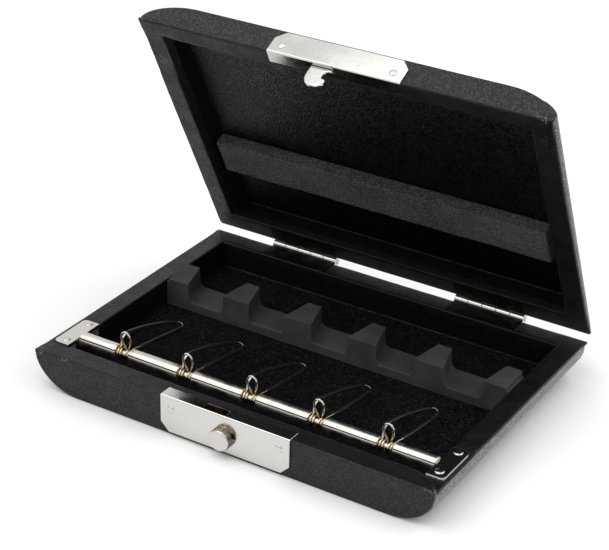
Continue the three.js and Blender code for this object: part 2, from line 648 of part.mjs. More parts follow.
function latchPlateLid() {
  const half = PLATE_HALF_W, corner = PLATE_CORNER;
  const bottom = LID_RIM_Z - FLANGE_PROUD, top = LID_RIM_Z + 7.15;
  const back = -HALF_D - LID_FIT, front = back - PLATE_T;
  const outline = [[-half, bottom], [half, bottom], [half, top - corner],
    [half - corner, top], [-half + corner, top], [-half, top - corner]];
  return cut(join([
    prismY(outline, [front, back]),
    box([-half, half], [front, FLANGE_BACK_Y], [bottom, LID_RIM_Z + FLANGE_SINK]),
  ]), [
    box([-6.5, 0.1], grow(HOOK_Y, 0.2), [bottom - CUT, LID_RIM_Z + CUT]),
    ...holes('y', grow([-HALF_D, -HALF_D], CUT), LID_RIVETS),
  ]);
}

const latchHook = () => prismY(HOOK_OUTLINE.map(([x, z]) => [x, LID_RIM_Z + z]), HOOK_Y);

hang('latch_plate_lid', latchPlateLid(), NICKEL);
LID_RIVETS.forEach((centre, i) => hang(`latch_rivet_lid_${i + 1}`,
  latchRivet(PLATE_T + 0.1, centre, -HALF_D - LID_FIT), NICKEL));
hang('latch_hook', latchHook(), NICKEL);

for (const [tag, side] of SIDES) {
  hang(`hinge_leaf_lid_${tag}`, hingeLeaf(side, true), NICKEL);
  nailCentres(side).forEach((centre, i) => hang(`hinge_nail_lid_${tag}_${i + 1}`,
    fastener(NAIL_PROFILE, HEAD_DOWN, [...centre, LID_RIM_Z]), NICKEL));
}

export default root;
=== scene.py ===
"""Bassoon reed case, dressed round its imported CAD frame.

The base stands on z = 0 and the lid is swung open about the hinge. x runs along the hinge,
y from the latch (front, -y) to the hinge (back, +y), z up. Lengths are millimetres unless a
comment says metres; meshes are written in metres. Lid pieces are laid out in the closed
position, rim down, and LID_OPEN carries them to rest.
"""
import json
from math import atan2, cos, degrees, exp, hypot, pi, radians, sin

import bmesh
import bpy
import numpy as np
from mathutils import Matrix, Vector, noise


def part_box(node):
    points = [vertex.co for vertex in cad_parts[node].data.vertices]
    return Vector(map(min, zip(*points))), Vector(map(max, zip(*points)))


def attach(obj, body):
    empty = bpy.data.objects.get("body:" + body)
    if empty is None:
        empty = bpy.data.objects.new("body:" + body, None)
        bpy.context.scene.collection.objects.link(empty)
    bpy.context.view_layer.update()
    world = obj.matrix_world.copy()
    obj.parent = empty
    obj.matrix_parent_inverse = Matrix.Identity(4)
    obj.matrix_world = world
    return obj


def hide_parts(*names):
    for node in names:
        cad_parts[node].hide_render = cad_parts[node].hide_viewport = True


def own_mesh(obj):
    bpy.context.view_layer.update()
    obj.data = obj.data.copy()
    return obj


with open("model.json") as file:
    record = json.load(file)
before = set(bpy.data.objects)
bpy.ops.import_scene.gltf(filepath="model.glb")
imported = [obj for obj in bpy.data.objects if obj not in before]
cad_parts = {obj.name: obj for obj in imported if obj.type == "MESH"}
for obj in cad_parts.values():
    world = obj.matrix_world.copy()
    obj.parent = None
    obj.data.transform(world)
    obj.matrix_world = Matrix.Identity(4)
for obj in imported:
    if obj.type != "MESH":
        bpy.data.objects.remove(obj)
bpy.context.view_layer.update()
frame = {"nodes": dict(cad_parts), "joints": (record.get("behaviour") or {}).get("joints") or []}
MM = 0.001
NODES = frame["nodes"]
JOINTS = {joint["name"]: joint for joint in frame["joints"]}
SIDES = ((-1, "left"), (1, "right"))

# ------------------------------------------------------------ sizes from CAD
HINGE = Vector(JOINTS["lid_hinge"]["pos_m"]) / MM
OPEN_DEG = -JOINTS["lid_hinge"]["range_deg"][0]
LID_OPEN = (Matrix.Translation(HINGE * MM) @ Matrix.Rotation(-radians(OPEN_DEG), 4, "X")
            @ Matrix.Translation(-HINGE * MM))
LID_CLOSE = LID_OPEN.inverted()


def node_box(node):
    lo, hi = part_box(node)
    return lo / MM, hi / MM


def lid_box(node):
    """A lid node's box in the closed position."""
    co = np.array([LID_CLOSE @ vert.co for vert in NODES[node].data.vertices], float) / MM
    return Vector(co.min(0)), Vector(co.max(0))


FIT = 0.1        # gap round the floor lining and the ceiling panel
WRAP = 0.34      # how far a shell's rim sits under the leather edging
SKIN = 0.3       # thickness of the leather and lining on the inner walls
HALF_X, HALF_Y, RIM = node_box("base_shell")[1]
LID_SHELL = lid_box("lid_shell")
LID_RIM, LID_TOP = LID_SHELL[0].z, LID_SHELL[1].z
LINING = node_box("base_floor_lining")
IN_X, IN_FRONT, IN_BACK = LINING[1].x + FIT, LINING[0].y - FIT, LINING[1].y + FIT
FLOOR_UNDER, FLOOR = LINING[0].z, LINING[1].z
PANEL = lid_box("lid_ceiling_panel")
CEILING, LID_FRONT, LID_BACK = PANEL[0].z, PANEL[0].y - FIT, PANEL[1].y + FIT
LEAN = (IN_X - (PANEL[1].x + 0.35)) / (CEILING - LID_RIM)
FOAM = lid_box("lid_foam_strip")
RACK = node_box("reed_rack")
ROD = Vector(JOINTS["clip_1_pivot"]["pos_m"]) / MM
ROD_Y, ROD_Z = ROD.y, ROD.z
CLIP_X = [JOINTS[f"clip_{i}_pivot"]["pos_m"][0] / MM for i in range(1, 6)]
PLATE_BASE, PLATE_LID = node_box("latch_plate_base"), lid_box("latch_plate_lid")
HOOK = lid_box("latch_hook")
BRACKET = node_box("rod_bracket_right")
LEAF = {tag: node_box(f"hinge_leaf_base_{tag}") for _, tag in SIDES}


def lean(z):
    """Inner half width of the lid, whose end walls lean in as they go deeper."""
    return IN_X - LEAN * (z - LID_RIM)


# rim height, direction into the material, inner half width at a height, inner front, inner back
RIMS = {"base": (RIM, -1, lambda z: IN_X, IN_FRONT, IN_BACK),
        "lid": (LID_RIM, 1, lean, LID_FRONT, LID_BACK)}


# -------------------------------------------------------------- mesh helpers
def link(name, mesh):
    ob = bpy.data.objects.new(name, mesh)
    bpy.context.scene.collection.objects.link(ob)
    return ob


def make(name, verts, faces):
    mesh = bpy.data.meshes.new(name)
    mesh.from_pydata([(v[0] * MM, v[1] * MM, v[2] * MM) for v in verts], [], faces)
    bm = bmesh.new()
    bm.from_mesh(mesh)
    bmesh.ops.recalc_face_normals(bm, faces=bm.faces)
    bm.to_mesh(mesh)
    bm.free()
    return link(name, mesh)


def bake(ob):
    graph = bpy.context.evaluated_depsgraph_get()
    mesh = bpy.data.meshes.new_from_object(
        ob.evaluated_get(graph), preserve_all_data_layers=True, depsgraph=graph)
    ob.modifiers.clear()
    old, ob.data = ob.data, mesh
    bpy.data.meshes.remove(old)


def boolean(ob, cutters, op="DIFFERENCE"):
    for cutter in cutters:
        mod = ob.modifiers.new("boolean", "BOOLEAN")
        mod.operation, mod.object, mod.solver = op, cutter, "EXACT"
        bake(ob)
        bpy.data.objects.remove(cutter)
    bm = bmesh.new()
    bm.from_mesh(ob.data)
    bmesh.ops.remove_doubles(bm, verts=bm.verts, dist=2e-7)
    bmesh.ops.dissolve_limit(bm, angle_limit=radians(0.3), verts=bm.verts, edges=bm.edges)
    bm.to_mesh(ob.data)
    bm.free()


def bevel(ob, width, segments, angle=30):
    mod = ob.modifiers.new("bevel", "BEVEL")
    mod.width, mod.segments, mod.limit_method = width * MM, segments, "ANGLE"
    mod.angle_limit, mod.use_clamp_overlap = radians(angle), True
    mod.miter_outer = "MITER_ARC"
    bake(ob)


def block(x0, x1, y0, y1, z0, z1, name="cutter"):
    verts = [(x, y, z) for x in (x0, x1) for y in (y0, y1) for z in (z0, z1)]
    faces = [(0, 1, 3, 2), (4, 6, 7, 5), (0, 4, 5, 1), (2, 3, 7, 6), (0, 2, 6, 4), (1, 5, 7, 3)]
    return make(name, verts, faces)


def side_block(s, x_in, x_out, y0, y1, z0, z1):
    """A block at the left (s = -1) or right (s = 1) end."""
    x0, x1 = sorted((s * x_in, s * x_out))
    return block(x0, x1, y0, y1, z0, z1)


def prism(outline, axis, start, end, name="cutter"):
    """Closed outline pushed along an axis: (x, z) for y, (x, y) for z, (y, z) for x."""
    n = len(outline)
    put = {"x": lambda p, a: (a, p[0], p[1]),
           "y": lambda p, a: (p[0], a, p[1]),
           "z": lambda p, a: (p[0], p[1], a)}[axis]
    verts = [put(p, start) for p in outline] + [put(p, end) for p in outline]
    faces = [tuple(range(n)), tuple(range(2 * n - 1, n - 1, -1))]
    faces += [(i, n + i, n + (i + 1) % n, (i + 1) % n) for i in range(n)]
    return make(name, verts, faces)


def rise(x, y, r, angles):
    """Arc points that start straight below the centre and turn to +x."""
    return [(x + r * sin(a), y - r * cos(a)) for a in angles]


def arc(x, y, r, angles):
    """Arc points that start at +x and turn to +y."""
    return [(x + r * cos(a), y + r * sin(a)) for a in angles]


def skin(rings, closed=False):
    """Faces between neighbouring rings of vertex numbers; a ring of one is a tip."""
    faces = []
    for a, b in zip(rings, rings[1:] + (rings[:1] if closed else [])):
        n = max(len(a), len(b))
        for k in range(n):
            k2 = (k + 1) % n
            if len(a) == 1:
                faces.append((a[0], b[k], b[k2]))
            elif len(b) == 1:
                faces.append((a[k], b[0], a[k2]))
            else:
                faces.append((a[k], b[k], b[k2], a[k2]))
    return faces


def lathe(name, profile, axis, at, seg, closed=False, groove=None):
    """profile is [(radius, height along the axis)]; closed joins its ends (tubes).

    groove is (angle, half width, depth) in degrees and mm: one fine line sunk along the length
    of the outer face, which is every radius above 1.3.
    """
    verts, rings = [], []
    angles = [(2 * pi * k / seg, 0.0) for k in range(seg)]
    if groove:
        mid, half, depth = radians(groove[0]), radians(groove[1]), groove[2]
        angles = [a for a in angles if abs(a[0] - mid) > half * 1.4]
        angles = sorted(angles + [(mid - half, 0.0), (mid - half * 0.4, depth),
                                  (mid + half * 0.4, depth), (mid + half, 0.0)])
    for r, h in profile:
        start = len(verts)
        if r < 1e-6:
            verts.append((0.0, 0.0, h))
        else:
            cuts = [(r - sunk * (r > 1.3), a) for a, sunk in angles]
            verts += [(ra * cos(a), ra * sin(a), h) for ra, a in cuts]
        rings.append(list(range(start, len(verts))))
    faces = [(f[0], *f[:0:-1]) for f in skin(rings, closed)]
    order = {"z": (0, 1, 2), "x": (2, 0, 1), "y": (1, 2, 0)}[axis]
    return make(name, [[v[order[i]] + at[i] for i in range(3)] for v in verts], faces)


def spline(points, per):
    """Centripetal Catmull-Rom through the points, with per steps to a span."""
    pts = [np.array(p, float) for p in points]
    out = []
    for i in range(len(pts) - 1):
        p1, p2 = pts[i], pts[i + 1]
        p0 = pts[i - 1] if i > 0 else p1 * 2 - p2
        p3 = pts[i + 2] if i + 2 < len(pts) else p2 * 2 - p1
        t0 = 0.0
        t1 = t0 + max(np.linalg.norm(p1 - p0), 1e-6) ** 0.5
        t2 = t1 + max(np.linalg.norm(p2 - p1), 1e-6) ** 0.5
        t3 = t2 + max(np.linalg.norm(p3 - p2), 1e-6) ** 0.5
        for k in range(per):
            t = t1 + (t2 - t1) * k / per

            def blend(ta, tb, a, b):
                return (tb - t) / (tb - ta) * a + (t - ta) / (tb - ta) * b

            a1, a2, a3 = blend(t0, t1, p0, p1), blend(t1, t2, p1, p2), blend(t2, t3, p2, p3)
            out.append(blend(t1, t2, blend(t0, t2, a1, a2), blend(t1, t3, a2, a3)))
    out.append(pts[-1])
    return out


def sweep(name, points, radius, sides, closed=False):
    """Round section along points; radius is a number or one per point. Open ends are domed."""
    pts = [np.array(p, float) for p in points]
    n = len(pts)
    radii = [radius] * n if np.isscalar(radius) else list(radius)
    along = []
    for i in range(n):
        a = pts[(i - 1) % n] if closed or i > 0 else pts[i]
        b = pts[(i + 1) % n] if closed or i + 1 < n else pts[i]
        along.append((b - a) / max(np.linalg.norm(b - a), 1e-9))
    if not closed:
        dome_rings = 4
        turns = [pi / 2 * i / dome_rings for i in range(dome_rings)]
        head = [pts[0] - along[0] * radii[0] * cos(a) for a in turns]
        tail = [pts[-1] + along[-1] * radii[-1] * cos(a) for a in turns]
        pts = head + pts + tail[::-1]
        radii = ([radii[0] * sin(a) for a in turns] + radii
                 + [radii[-1] * sin(a) for a in turns[::-1]])
        along = [along[0]] * dome_rings + along + [along[-1]] * dome_rings
        n = len(pts)

    def square(vector, direction):
        vector = vector - direction * (vector @ direction)
        return vector / np.linalg.norm(vector)

    across = [square(np.array((0.0, 0.0, 1.0) if abs(along[0][2]) < 0.9 else (1.0, 0.0, 0.0)),
                     along[0])]
    for i in range(1, n):
        across.append(square(across[-1], along[i]))
    twist = 0.0
    if closed:
        last = square(across[-1], along[0])
        twist = atan2(np.cross(last, across[0]) @ along[0], last @ across[0])
    verts, rings = [], []
    for i in range(n):
        third = np.cross(along[i], across[i])
        start = len(verts)
        if radii[i] < 1e-6:
            verts.append(tuple(pts[i]))
        else:
            for k in range(sides):
                a = 2 * pi * k / sides + twist * i / n
                verts.append(tuple(pts[i] + radii[i] * (cos(a) * across[i] + sin(a) * third)))
        rings.append(list(range(start, len(verts))))
    return make(name, verts, skin(rings, closed))


def grid_box(lo, hi, step):
    """Closed box surface cut into cells, as (vertices, faces)."""
    n = [max(1, round((hi[i] - lo[i]) / step[i])) for i in range(3)]
    ids, verts, faces = {}, [], []

    def vertex(key):
        if key not in ids:
            ids[key] = len(verts)
            verts.append([lo[i] + (hi[i] - lo[i]) * key[i] / n[i] for i in range(3)])
        return ids[key]

    for a in range(3):
        b, c = (a + 1) % 3, (a + 2) % 3
        for side in (0, n[a]):
            for i in range(n[b]):
                for j in range(n[c]):
                    quad = []
                    for di, dj in ((0, 0), (1, 0), (1, 1), (0, 1)):
                        key = [0, 0, 0]
                        key[a], key[b], key[c] = side, i + di, j + dj
                        quad.append(vertex(tuple(key)))
                    faces.append(tuple(quad if side else quad[::-1]))
    return np.array(verts), faces


def rounded_box(lo, hi, step, r):
    """Cut box pulled on to rounded edges: positions, outward directions and faces."""
    verts, faces = grid_box(lo, hi, step)
    core = np.clip(verts, np.array(lo, float) + r, np.array(hi, float) - r)
    offset = verts - core
    normal = offset / np.maximum(np.linalg.norm(offset, axis=1, keepdims=True), 1e-9)
    return core + normal * r, normal, faces


def field(pts, scale, seed, octaves):
    """Summed noise at each point."""
    out = np.zeros(len(pts))
    for i, p in enumerate(pts):
        s, amp, total = scale, 1.0, 0.0
        for _ in range(octaves):
            place = Vector((p[0] * s + seed, p[1] * s - seed, p[2] * s + 2 * seed))
            total += amp * noise.noise(place)
            s *= 2.03
            amp *= 0.5
        out[i] = total
    return out


def ease(k):
    return k * k * (3 - 2 * k)


# ----------------------------------------------------------------- materials
MATERIALS = {}


class Nodes:
    """Short calls for the nodes of a tree. A value may be a number, a tuple or a socket."""

    def __init__(self, tree):
        self.tree = tree

    def put(self, socket, value):
        if hasattr(value, "is_linked"):
            self.tree.links.new(value, socket)
        else:
            socket.default_value = value

    def node(self, kind, inputs=None, **props):
        node = self.tree.nodes.new(kind)
        for key, value in props.items():
            setattr(node, key, value)
        for key, value in (inputs or {}).items():
            self.put(node.inputs[key], value)
        return node

    def math(self, op, a, b=0.0, clamp=False):
        return self.node("ShaderNodeMath", {0: a, 1: b}, operation=op, use_clamp=clamp).outputs[0]

    def mul(self, a, b, clamp=False):
        return self.math("MULTIPLY", a, b, clamp)

    def add(self, a, b):
        return self.math("ADD", a, b)

    def split(self, vector):
        return self.node("ShaderNodeSeparateXYZ", {0: vector}).outputs

    def ramp(self, value, span, to=(0.0, 1.0)):
        """Smooth step from to[0] to to[1] while the value crosses span."""
        inputs = {"Value": value, "From Min": span[0], "From Max": span[1],
                  "To Min": to[0], "To Max": to[1]}
        return self.node("ShaderNodeMapRange", inputs, interpolation_type="SMOOTHSTEP",
                         clamp=True).outputs["Result"]

    def mix(self, share, base, over):
        """Colour base with a share of colour over."""
        base, over = [c if hasattr(c, "is_linked") else (*c, 1.0) for c in (base, over)]
        return self.node("ShaderNodeMix", {0: share, 6: base, 7: over},
                         data_type="RGBA").outputs[2]


class Shader(Nodes):
    """A procedural Principled material."""

    def __init__(self, name):
        material = MATERIALS[name] = bpy.data.materials.new(name)
        material.use_nodes = True
        super().__init__(material.node_tree)
        self.tree.nodes.clear()
        output = self.node("ShaderNodeOutputMaterial")
        self.bsdf = self.node("ShaderNodeBsdfPrincipled")
        self.put(output.inputs[0], self.bsdf.outputs[0])
        self.place = self.node("ShaderNodeTexCoord").outputs["Object"]

    def set(self, **values):
        sockets = {s.name.lower(): s for s in self.bsdf.inputs}
        for key, value in values.items():
            self.put(sockets[key.replace("_", " ")], value)

    def colour(self):
        """The socket that feeds the base colour."""
        return self.bsdf.inputs["Base Color"].links[0].from_socket

    def noise(self, scale, detail, rough=0.5, vector=None):
        inputs = {"Vector": vector or self.place, "Scale": scale, "Detail": detail,
                  "Roughness": rough}
        return self.node("ShaderNodeTexNoise", inputs).outputs["Fac"]

    def voronoi(self, scale, feature="F1", **inputs):
        return self.node("ShaderNodeTexVoronoi", {"Vector": self.place, "Scale": scale, **inputs},
                         feature=feature).outputs["Distance"]

    def bump(self, height, strength, distance, under=None):
        inputs = {"Strength": strength, "Distance": distance * MM, "Height": height}
        if under is not None:
            inputs["Normal"] = under
        return self.node("ShaderNodeBump", inputs).outputs["Normal"]

    def edge(self, radius, gain):
        """1 along sharp edges, where the bevelled and the true normal differ."""
        bevelled = self.node("ShaderNodeBevel", {"Radius": radius * MM}, samples=4).outputs[0]
        true = self.node("ShaderNodeNewGeometry").outputs["Normal"]
        dot = self.node("ShaderNodeVectorMath", {0: bevelled, 1: true}, operation="DOT_PRODUCT")
        return self.mul(self.math("SUBTRACT", 1.0, dot.outputs["Value"]), gain, clamp=True)

    def near(self, centre, inner, outer):
        """1 within inner of a point, 0 beyond outer."""
        distance = self.node("ShaderNodeVectorMath", {0: self.place, 1: [c * MM for c in centre]},
                             operation="DISTANCE")
        return self.ramp(distance.outputs["Value"], span=(inner * MM, outer * MM), to=(1, 0))


def leather(name, grain, depth, dark, light, rough, spec, pits, worn=(), wear=0.35,
            painted_end_light=None):
    """Pebbled leather.

    grain is the pebble size and depth the relief; pits is the shine left between the pebbles.
    worn is [(centre, inner, outer, amount)]; the last argument is (specular, grey) for the right
    end, and the grey is painted light that stands for the bright floor the end reflects.
    """
    m = Shader(name)
    warp = m.noise(scale=300, detail=2)
    cells = m.voronoi(scale=1000 / grain, feature="SMOOTH_F1", Smoothness=0.35)
    small = m.voronoi(scale=1000 / (grain * 0.45))
    fine = m.noise(scale=5200, detail=3, rough=0.6)
    broad = m.noise(scale=70, detail=3, rough=0.55)
    pebble = m.ramp(cells, span=(0.22, 0.66), to=(1, 0))
    pebble_share, small_share, fine_share = 0.7, 0.2, 0.25     # of the relief's height
    height = m.add(m.mul(pebble, pebble_share),
                   m.add(m.mul(m.ramp(small, span=(0.1, 0.6), to=(1, 0)), small_share),
                         m.mul(fine, fine_share)))
    waves = m.bump(broad, strength=0.25, distance=0.5)
    normal = m.bump(height, strength=1, distance=depth, under=waves)
    base = m.mix(m.ramp(broad, span=(0.35, 0.65)), dark, light)
    # painted shade: the pits between the pebbles are coloured darker than the pebble tops
    base = m.mix(m.ramp(height, span=(0.2, 0.8)), [c * 0.6 for c in dark], base)
    scuffs = m.ramp(m.noise(scale=900, detail=4, rough=0.65), span=(0.42, 0.72))
    edge = m.mul(m.edge(radius=0.45, gain=4), scuffs, clamp=True)
    base = m.mix(m.mul(edge, wear, clamp=True), base, over=(0.16, 0.155, 0.15))
    for centre, inner, outer, amount in worn:
        flakes = m.ramp(m.noise(scale=1500, detail=5, rough=0.7), span=(0.50, 0.60))
        spot = m.mul(m.near(centre, inner, outer), flakes)
        spot = m.mul(spot, m.ramp(m.edge(radius=0.8, gain=5), span=(0.1, 0.5)))
        base = m.mix(m.mul(spot, amount, clamp=True), base, over=(0.55, 0.54, 0.52))
    roughness = m.add(m.ramp(warp, span=(0.3, 0.7), to=(rough - 0.05, rough + 0.07)),
                      m.mul(m.ramp(height, span=(0.2, 0.9), to=(0.12, 0)), 1.0))
    if painted_end_light:
        # the faces turned to the right get more specular, less roughness and a painted grey, most on
        # the pebble tops: painted light standing for the bright floor they reflect
        end_spec, painted_end_grey = painted_end_light
        smoothing = 0.10
        facing = m.split(m.node("ShaderNodeNewGeometry").outputs["Normal"])
        end = m.ramp(facing["X"], span=(0.22, 0.60))
        spec = m.add(m.mul(end, end_spec - spec), spec)
        roughness = m.math("SUBTRACT", roughness, m.mul(end, smoothing))
        painted_light = m.mul(end, m.ramp(height, span=(0.2, 0.8), to=(0.35, 1)))
        base = m.mix(painted_light, base, [painted_end_grey] * 3)
    # the tops of the pebbles shine, the pits between them stay dull
    m.set(base_color=base, roughness=roughness, normal=normal,
          specular_ior_level=m.mul(m.ramp(height, span=(0.20, 1.0), to=(pits, 1.15)), spec))


def leathers():
    # centre, inner radius, outer radius, amount
    base_worn = [((HALF_X - 0.6, -HALF_Y + 0.2, RIM - 2.2), 1.6, 3.4, 0.55),
                 ((HALF_X - 1.6, -HALF_Y + 0.2, RIM - 5.6), 1.4, 3.2, 0.5),
                 ((HALF_X - 1.9, -HALF_Y + 0.4, RIM - 0.3), 0.8, 1.9, 0.7),
                 ((-HALF_X + 0.4, -HALF_Y + 0.4, RIM - 0.4), 1.0, 2.6, 0.6),
                 ((-50.5, -HALF_Y, RIM - 0.6), 0.7, 1.5, 0.7),
                 ((HALF_X - 1.2, -20.6, RIM), 1.2, 3.6, 0.45)]
    lid_worn = [((HALF_X - 2.2, -HALF_Y + 0.3, LID_RIM + 0.2), 0.7, 1.9, 1.0),
                ((-HALF_X + 0.4, -HALF_Y + 0.4, LID_RIM + 0.4), 0.8, 2.0, 0.4)]
    leather("leather_base", grain=0.55, depth=0.075, dark=(0.0014, 0.0014, 0.0018),
            light=(0.0034, 0.0034, 0.0039), rough=0.42, worn=base_worn, spec=0.46,
            painted_end_light=(1.0, 0.19), pits=0.85)
    leather("leather_lid", grain=0.62, depth=0.14, dark=(0.0016, 0.0016, 0.0020),
            light=(0.0040, 0.0040, 0.0045), rough=0.30, worn=lid_worn, spec=0.54,
            painted_end_light=(0.9, 0.09), pits=0.6)
    edging_look = dict(grain=0.42, depth=0.035, dark=(0.0016, 0.0016, 0.0019),
                       light=(0.0036, 0.0036, 0.0040), pits=0.8)
    leather("leather_edging", rough=0.36, worn=base_worn, wear=0.42, spec=0.37, **edging_look)
    leather("leather_edging_lid", rough=0.38, worn=lid_worn, wear=0.25, spec=0.31, **edging_look)
    leather("panel_leather", grain=0.60, depth=0.12, dark=(0.0006, 0.0006, 0.0008),
            light=(0.0013, 0.0013, 0.0016), rough=0.28, wear=0.02, spec=0.38, pits=0.4)


def flock(name, dark, light, fleck, sheen):
    m = Shader(name)
    pile = m.noise(scale=2600, detail=3, rough=0.7)
    clump = m.noise(scale=420, detail=3, rough=0.6)
    broad = m.noise(scale=60, detail=3, rough=0.6)
    clump_share, broad_share, lint_share = 0.6, 0.4, 0.10
    patches = m.add(m.mul(clump, clump_share), m.mul(broad, broad_share))
    base = m.mix(m.ramp(patches, span=(0.38, 0.62)), dark, light)
    grains = m.ramp(m.noise(scale=1700, detail=2, rough=0.6), span=(0.52, 0.64))
    base = m.mix(m.mul(grains, m.ramp(pile, span=(0.40, 0.56))), base, fleck)
    lint = m.ramp(m.voronoi(scale=260), span=(0, 0.06), to=(1, 0))
    base = m.mix(m.mul(lint, lint_share), base, over=(0.20, 0.20, 0.20))
    clumps = m.bump(clump, strength=0.5, distance=0.35)
    m.set(base_color=base, roughness=0.95, specular_ior_level=0.05,
          normal=m.bump(pile, strength=0.9, distance=0.25, under=clumps),
          sheen_weight=sheen, sheen_roughness=0.5, sheen_tint=(0.6, 0.6, 0.65, 1.0))


def foam():
    m = Shader("charcoal_foam")
    pore = m.voronoi(scale=2600)
    big = m.voronoi(scale=1300)
    broad = m.noise(scale=90, detail=3, rough=0.6)
    speck = m.noise(scale=3000, detail=2, rough=0.6)
    base = m.mix(m.ramp(broad, span=(0.35, 0.65)),
                 base=(0.038, 0.036, 0.034), over=(0.062, 0.0595, 0.056))
    base = m.mix(m.ramp(speck, span=(0.46, 0.66)), base, over=(0.125, 0.12, 0.113))
    # painted shade: the pores of the foam are coloured nearly black
    base = m.mix(m.ramp(pore, span=(0, 0.34), to=(0.85, 0)), base, over=(0.006, 0.0058, 0.0055))
    big_share = 0.8
    height = m.add(m.ramp(pore, span=(0.05, 0.5)),
                   m.mul(m.ramp(big, span=(0.05, 0.5)), big_share))
    m.set(base_color=base, roughness=0.97, normal=m.bump(height, strength=1, distance=0.35),
          specular_ior_level=0.12)


def rubber():
    m = Shader("rack_rubber")
    speck = m.noise(scale=2400, detail=3, rough=0.65)
    broad = m.noise(scale=120, detail=4, rough=0.6)
    base = m.mix(m.ramp(broad, span=(0.32, 0.68)),
                 base=(0.027, 0.026, 0.0266), over=(0.046, 0.0445, 0.0455))
    base = m.mix(m.ramp(speck, span=(0.56, 0.76)), base, over=(0.078, 0.076, 0.076))
    edge = m.mul(m.edge(radius=0.5, gain=4),
                 m.ramp(m.noise(scale=700, detail=3), span=(0.3, 0.7)))
    edge_wear = 0.5
    base = m.mix(m.mul(edge, edge_wear, clamp=True), base, over=(0.085, 0.083, 0.083))
    waves = m.bump(broad, strength=0.3, distance=0.4)
    m.set(base_color=base, roughness=m.ramp(speck, span=(0.3, 0.7), to=(0.72, 0.88)),
          normal=m.bump(speck, strength=0.5, distance=0.12, under=waves),
          specular_ior_level=0.35)


def metal(name, colour, rough, stain=(0.45, 0.42, 0.36), stain_amount=0.25,
          brushed=(9000, 900, 2400), metallic=1.0):
    """brushed is the scratches' scale along x, y and z."""
    m = Shader(name)
    broad = m.noise(scale=220, detail=4, rough=0.6)
    spot = m.noise(scale=900, detail=4, rough=0.7)
    stretched = m.node("ShaderNodeVectorMath", {0: m.place, 1: brushed}, operation="MULTIPLY")
    scratch = m.noise(scale=1, detail=3, rough=0.6, vector=stretched.outputs[0])
    base = m.mix(m.mul(m.ramp(spot, span=(0.56, 0.78)), stain_amount), colour, stain)
    roughness = m.add(m.ramp(broad, span=(0.3, 0.7), to=(rough * 0.75, rough * 1.35)),
                      m.ramp(scratch, span=(0.55, 0.8), to=(0, 0.08)))
    waves = m.bump(broad, strength=0.08, distance=0.2)
    m.set(base_color=base, metallic=metallic, roughness=roughness,
          normal=m.bump(scratch, strength=0.10, distance=0.02, under=waves))
    return m


def knurled_nickel():
    """Knurled edge with patches of grime."""
    m = metal("knurled_nickel", colour=(0.46, 0.40, 0.32), rough=0.26)
    clean = m.ramp(m.noise(scale=2600, detail=3, rough=0.7), span=(0.40, 0.62))
    m.set(base_color=m.mix(clean, base=(0.045, 0.032, 0.020), over=m.colour()))


def spring_wire():
    """The coil is warmer and brassier than the loop; the far tip is darker."""
    m = metal("spring_wire", colour=(0.62, 0.60, 0.56), rough=0.17)
    place = m.split(m.place)
    dy = m.math("SUBTRACT", place["Y"], ROD_Y * MM)
    dz = m.math("SUBTRACT", place["Z"], ROD_Z * MM)
    from_rod = m.math("SQRT", m.add(m.mul(dy, dy), m.mul(dz, dz)))
    coil = m.ramp(from_rod, span=(1.7 * MM, 2.6 * MM), to=(1, 0))
    tip_share = 0.8
    tip = m.mul(m.ramp(from_rod, span=(15.0 * MM, 22.0 * MM)), tip_share)
    base = m.mix(tip, m.colour(), over=(0.06, 0.06, 0.06))
    uneven = m.ramp(m.noise(scale=600, detail=2), span=(0.3, 0.6), to=(0.45, 1))
    m.set(base_color=m.mix(m.mul(coil, uneven), base, over=(0.66, 0.53, 0.32)))


def sleeve():
    m = Shader("black_sleeve")
    rub = m.noise(scale=1600, detail=3, rough=0.6)
    m.set(base_color=m.mix(m.ramp(rub, span=(0.4, 0.7)),
                           base=(0.0045, 0.0045, 0.0048), over=(0.014, 0.014, 0.0145)),
          roughness=m.ramp(rub, span=(0.3, 0.7), to=(0.30, 0.46)),
          normal=m.bump(rub, strength=0.25, distance=0.05), specular_ior_level=0.5)


def studio_paper():
    m = Shader("studio_floor")
    clouds = m.ramp(m.noise(scale=3, detail=2), span=(0.3, 0.7))
    m.set(base_color=m.mix(clouds, base=(0.90, 0.90, 0.90), over=(0.92, 0.92, 0.92)),
          roughness=0.85)


leathers()
flock("floor_flock", dark=(0.0010, 0.0010, 0.0013), light=(0.0030, 0.0030, 0.0035),
      fleck=(0.023, 0.023, 0.026), sheen=0.015)
flock("wall_lining", dark=(0.0014, 0.0014, 0.0016), light=(0.0028, 0.0028, 0.0031),
      fleck=(0.007, 0.007, 0.0075), sheen=0.015)
flock("board_edge", dark=(0.014, 0.014, 0.015), light=(0.034, 0.034, 0.036),
      fleck=(0.07, 0.07, 0.07), sheen=0.05)
foam()
rubber()
metal("nickel_plate", colour=(0.655, 0.645, 0.62), rough=0.12)
metal("nickel_small", colour=(0.62, 0.605, 0.57), rough=0.16)
# pale, mostly non-metallic nickel: a painted highlight for edges that would catch the light
metal("nickel_painted_highlight", colour=(0.92, 0.90, 0.84), rough=0.45, metallic=0.2)
metal("nickel_tube", colour=(0.66, 0.63, 0.575), rough=0.29, stain_amount=0.12,
      brushed=(300, 2500, 2500))
metal("dark_bronze", colour=(0.0055, 0.0048, 0.0038), rough=0.62, stain=(0.014, 0.011, 0.007),
      stain_amount=0.4)
knurled_nickel()
metal("brass_works", colour=(0.34, 0.25, 0.13), rough=0.30, stain=(0.10, 0.07, 0.04),
      stain_amount=0.5)
spring_wire()
sleeve()
studio_paper()


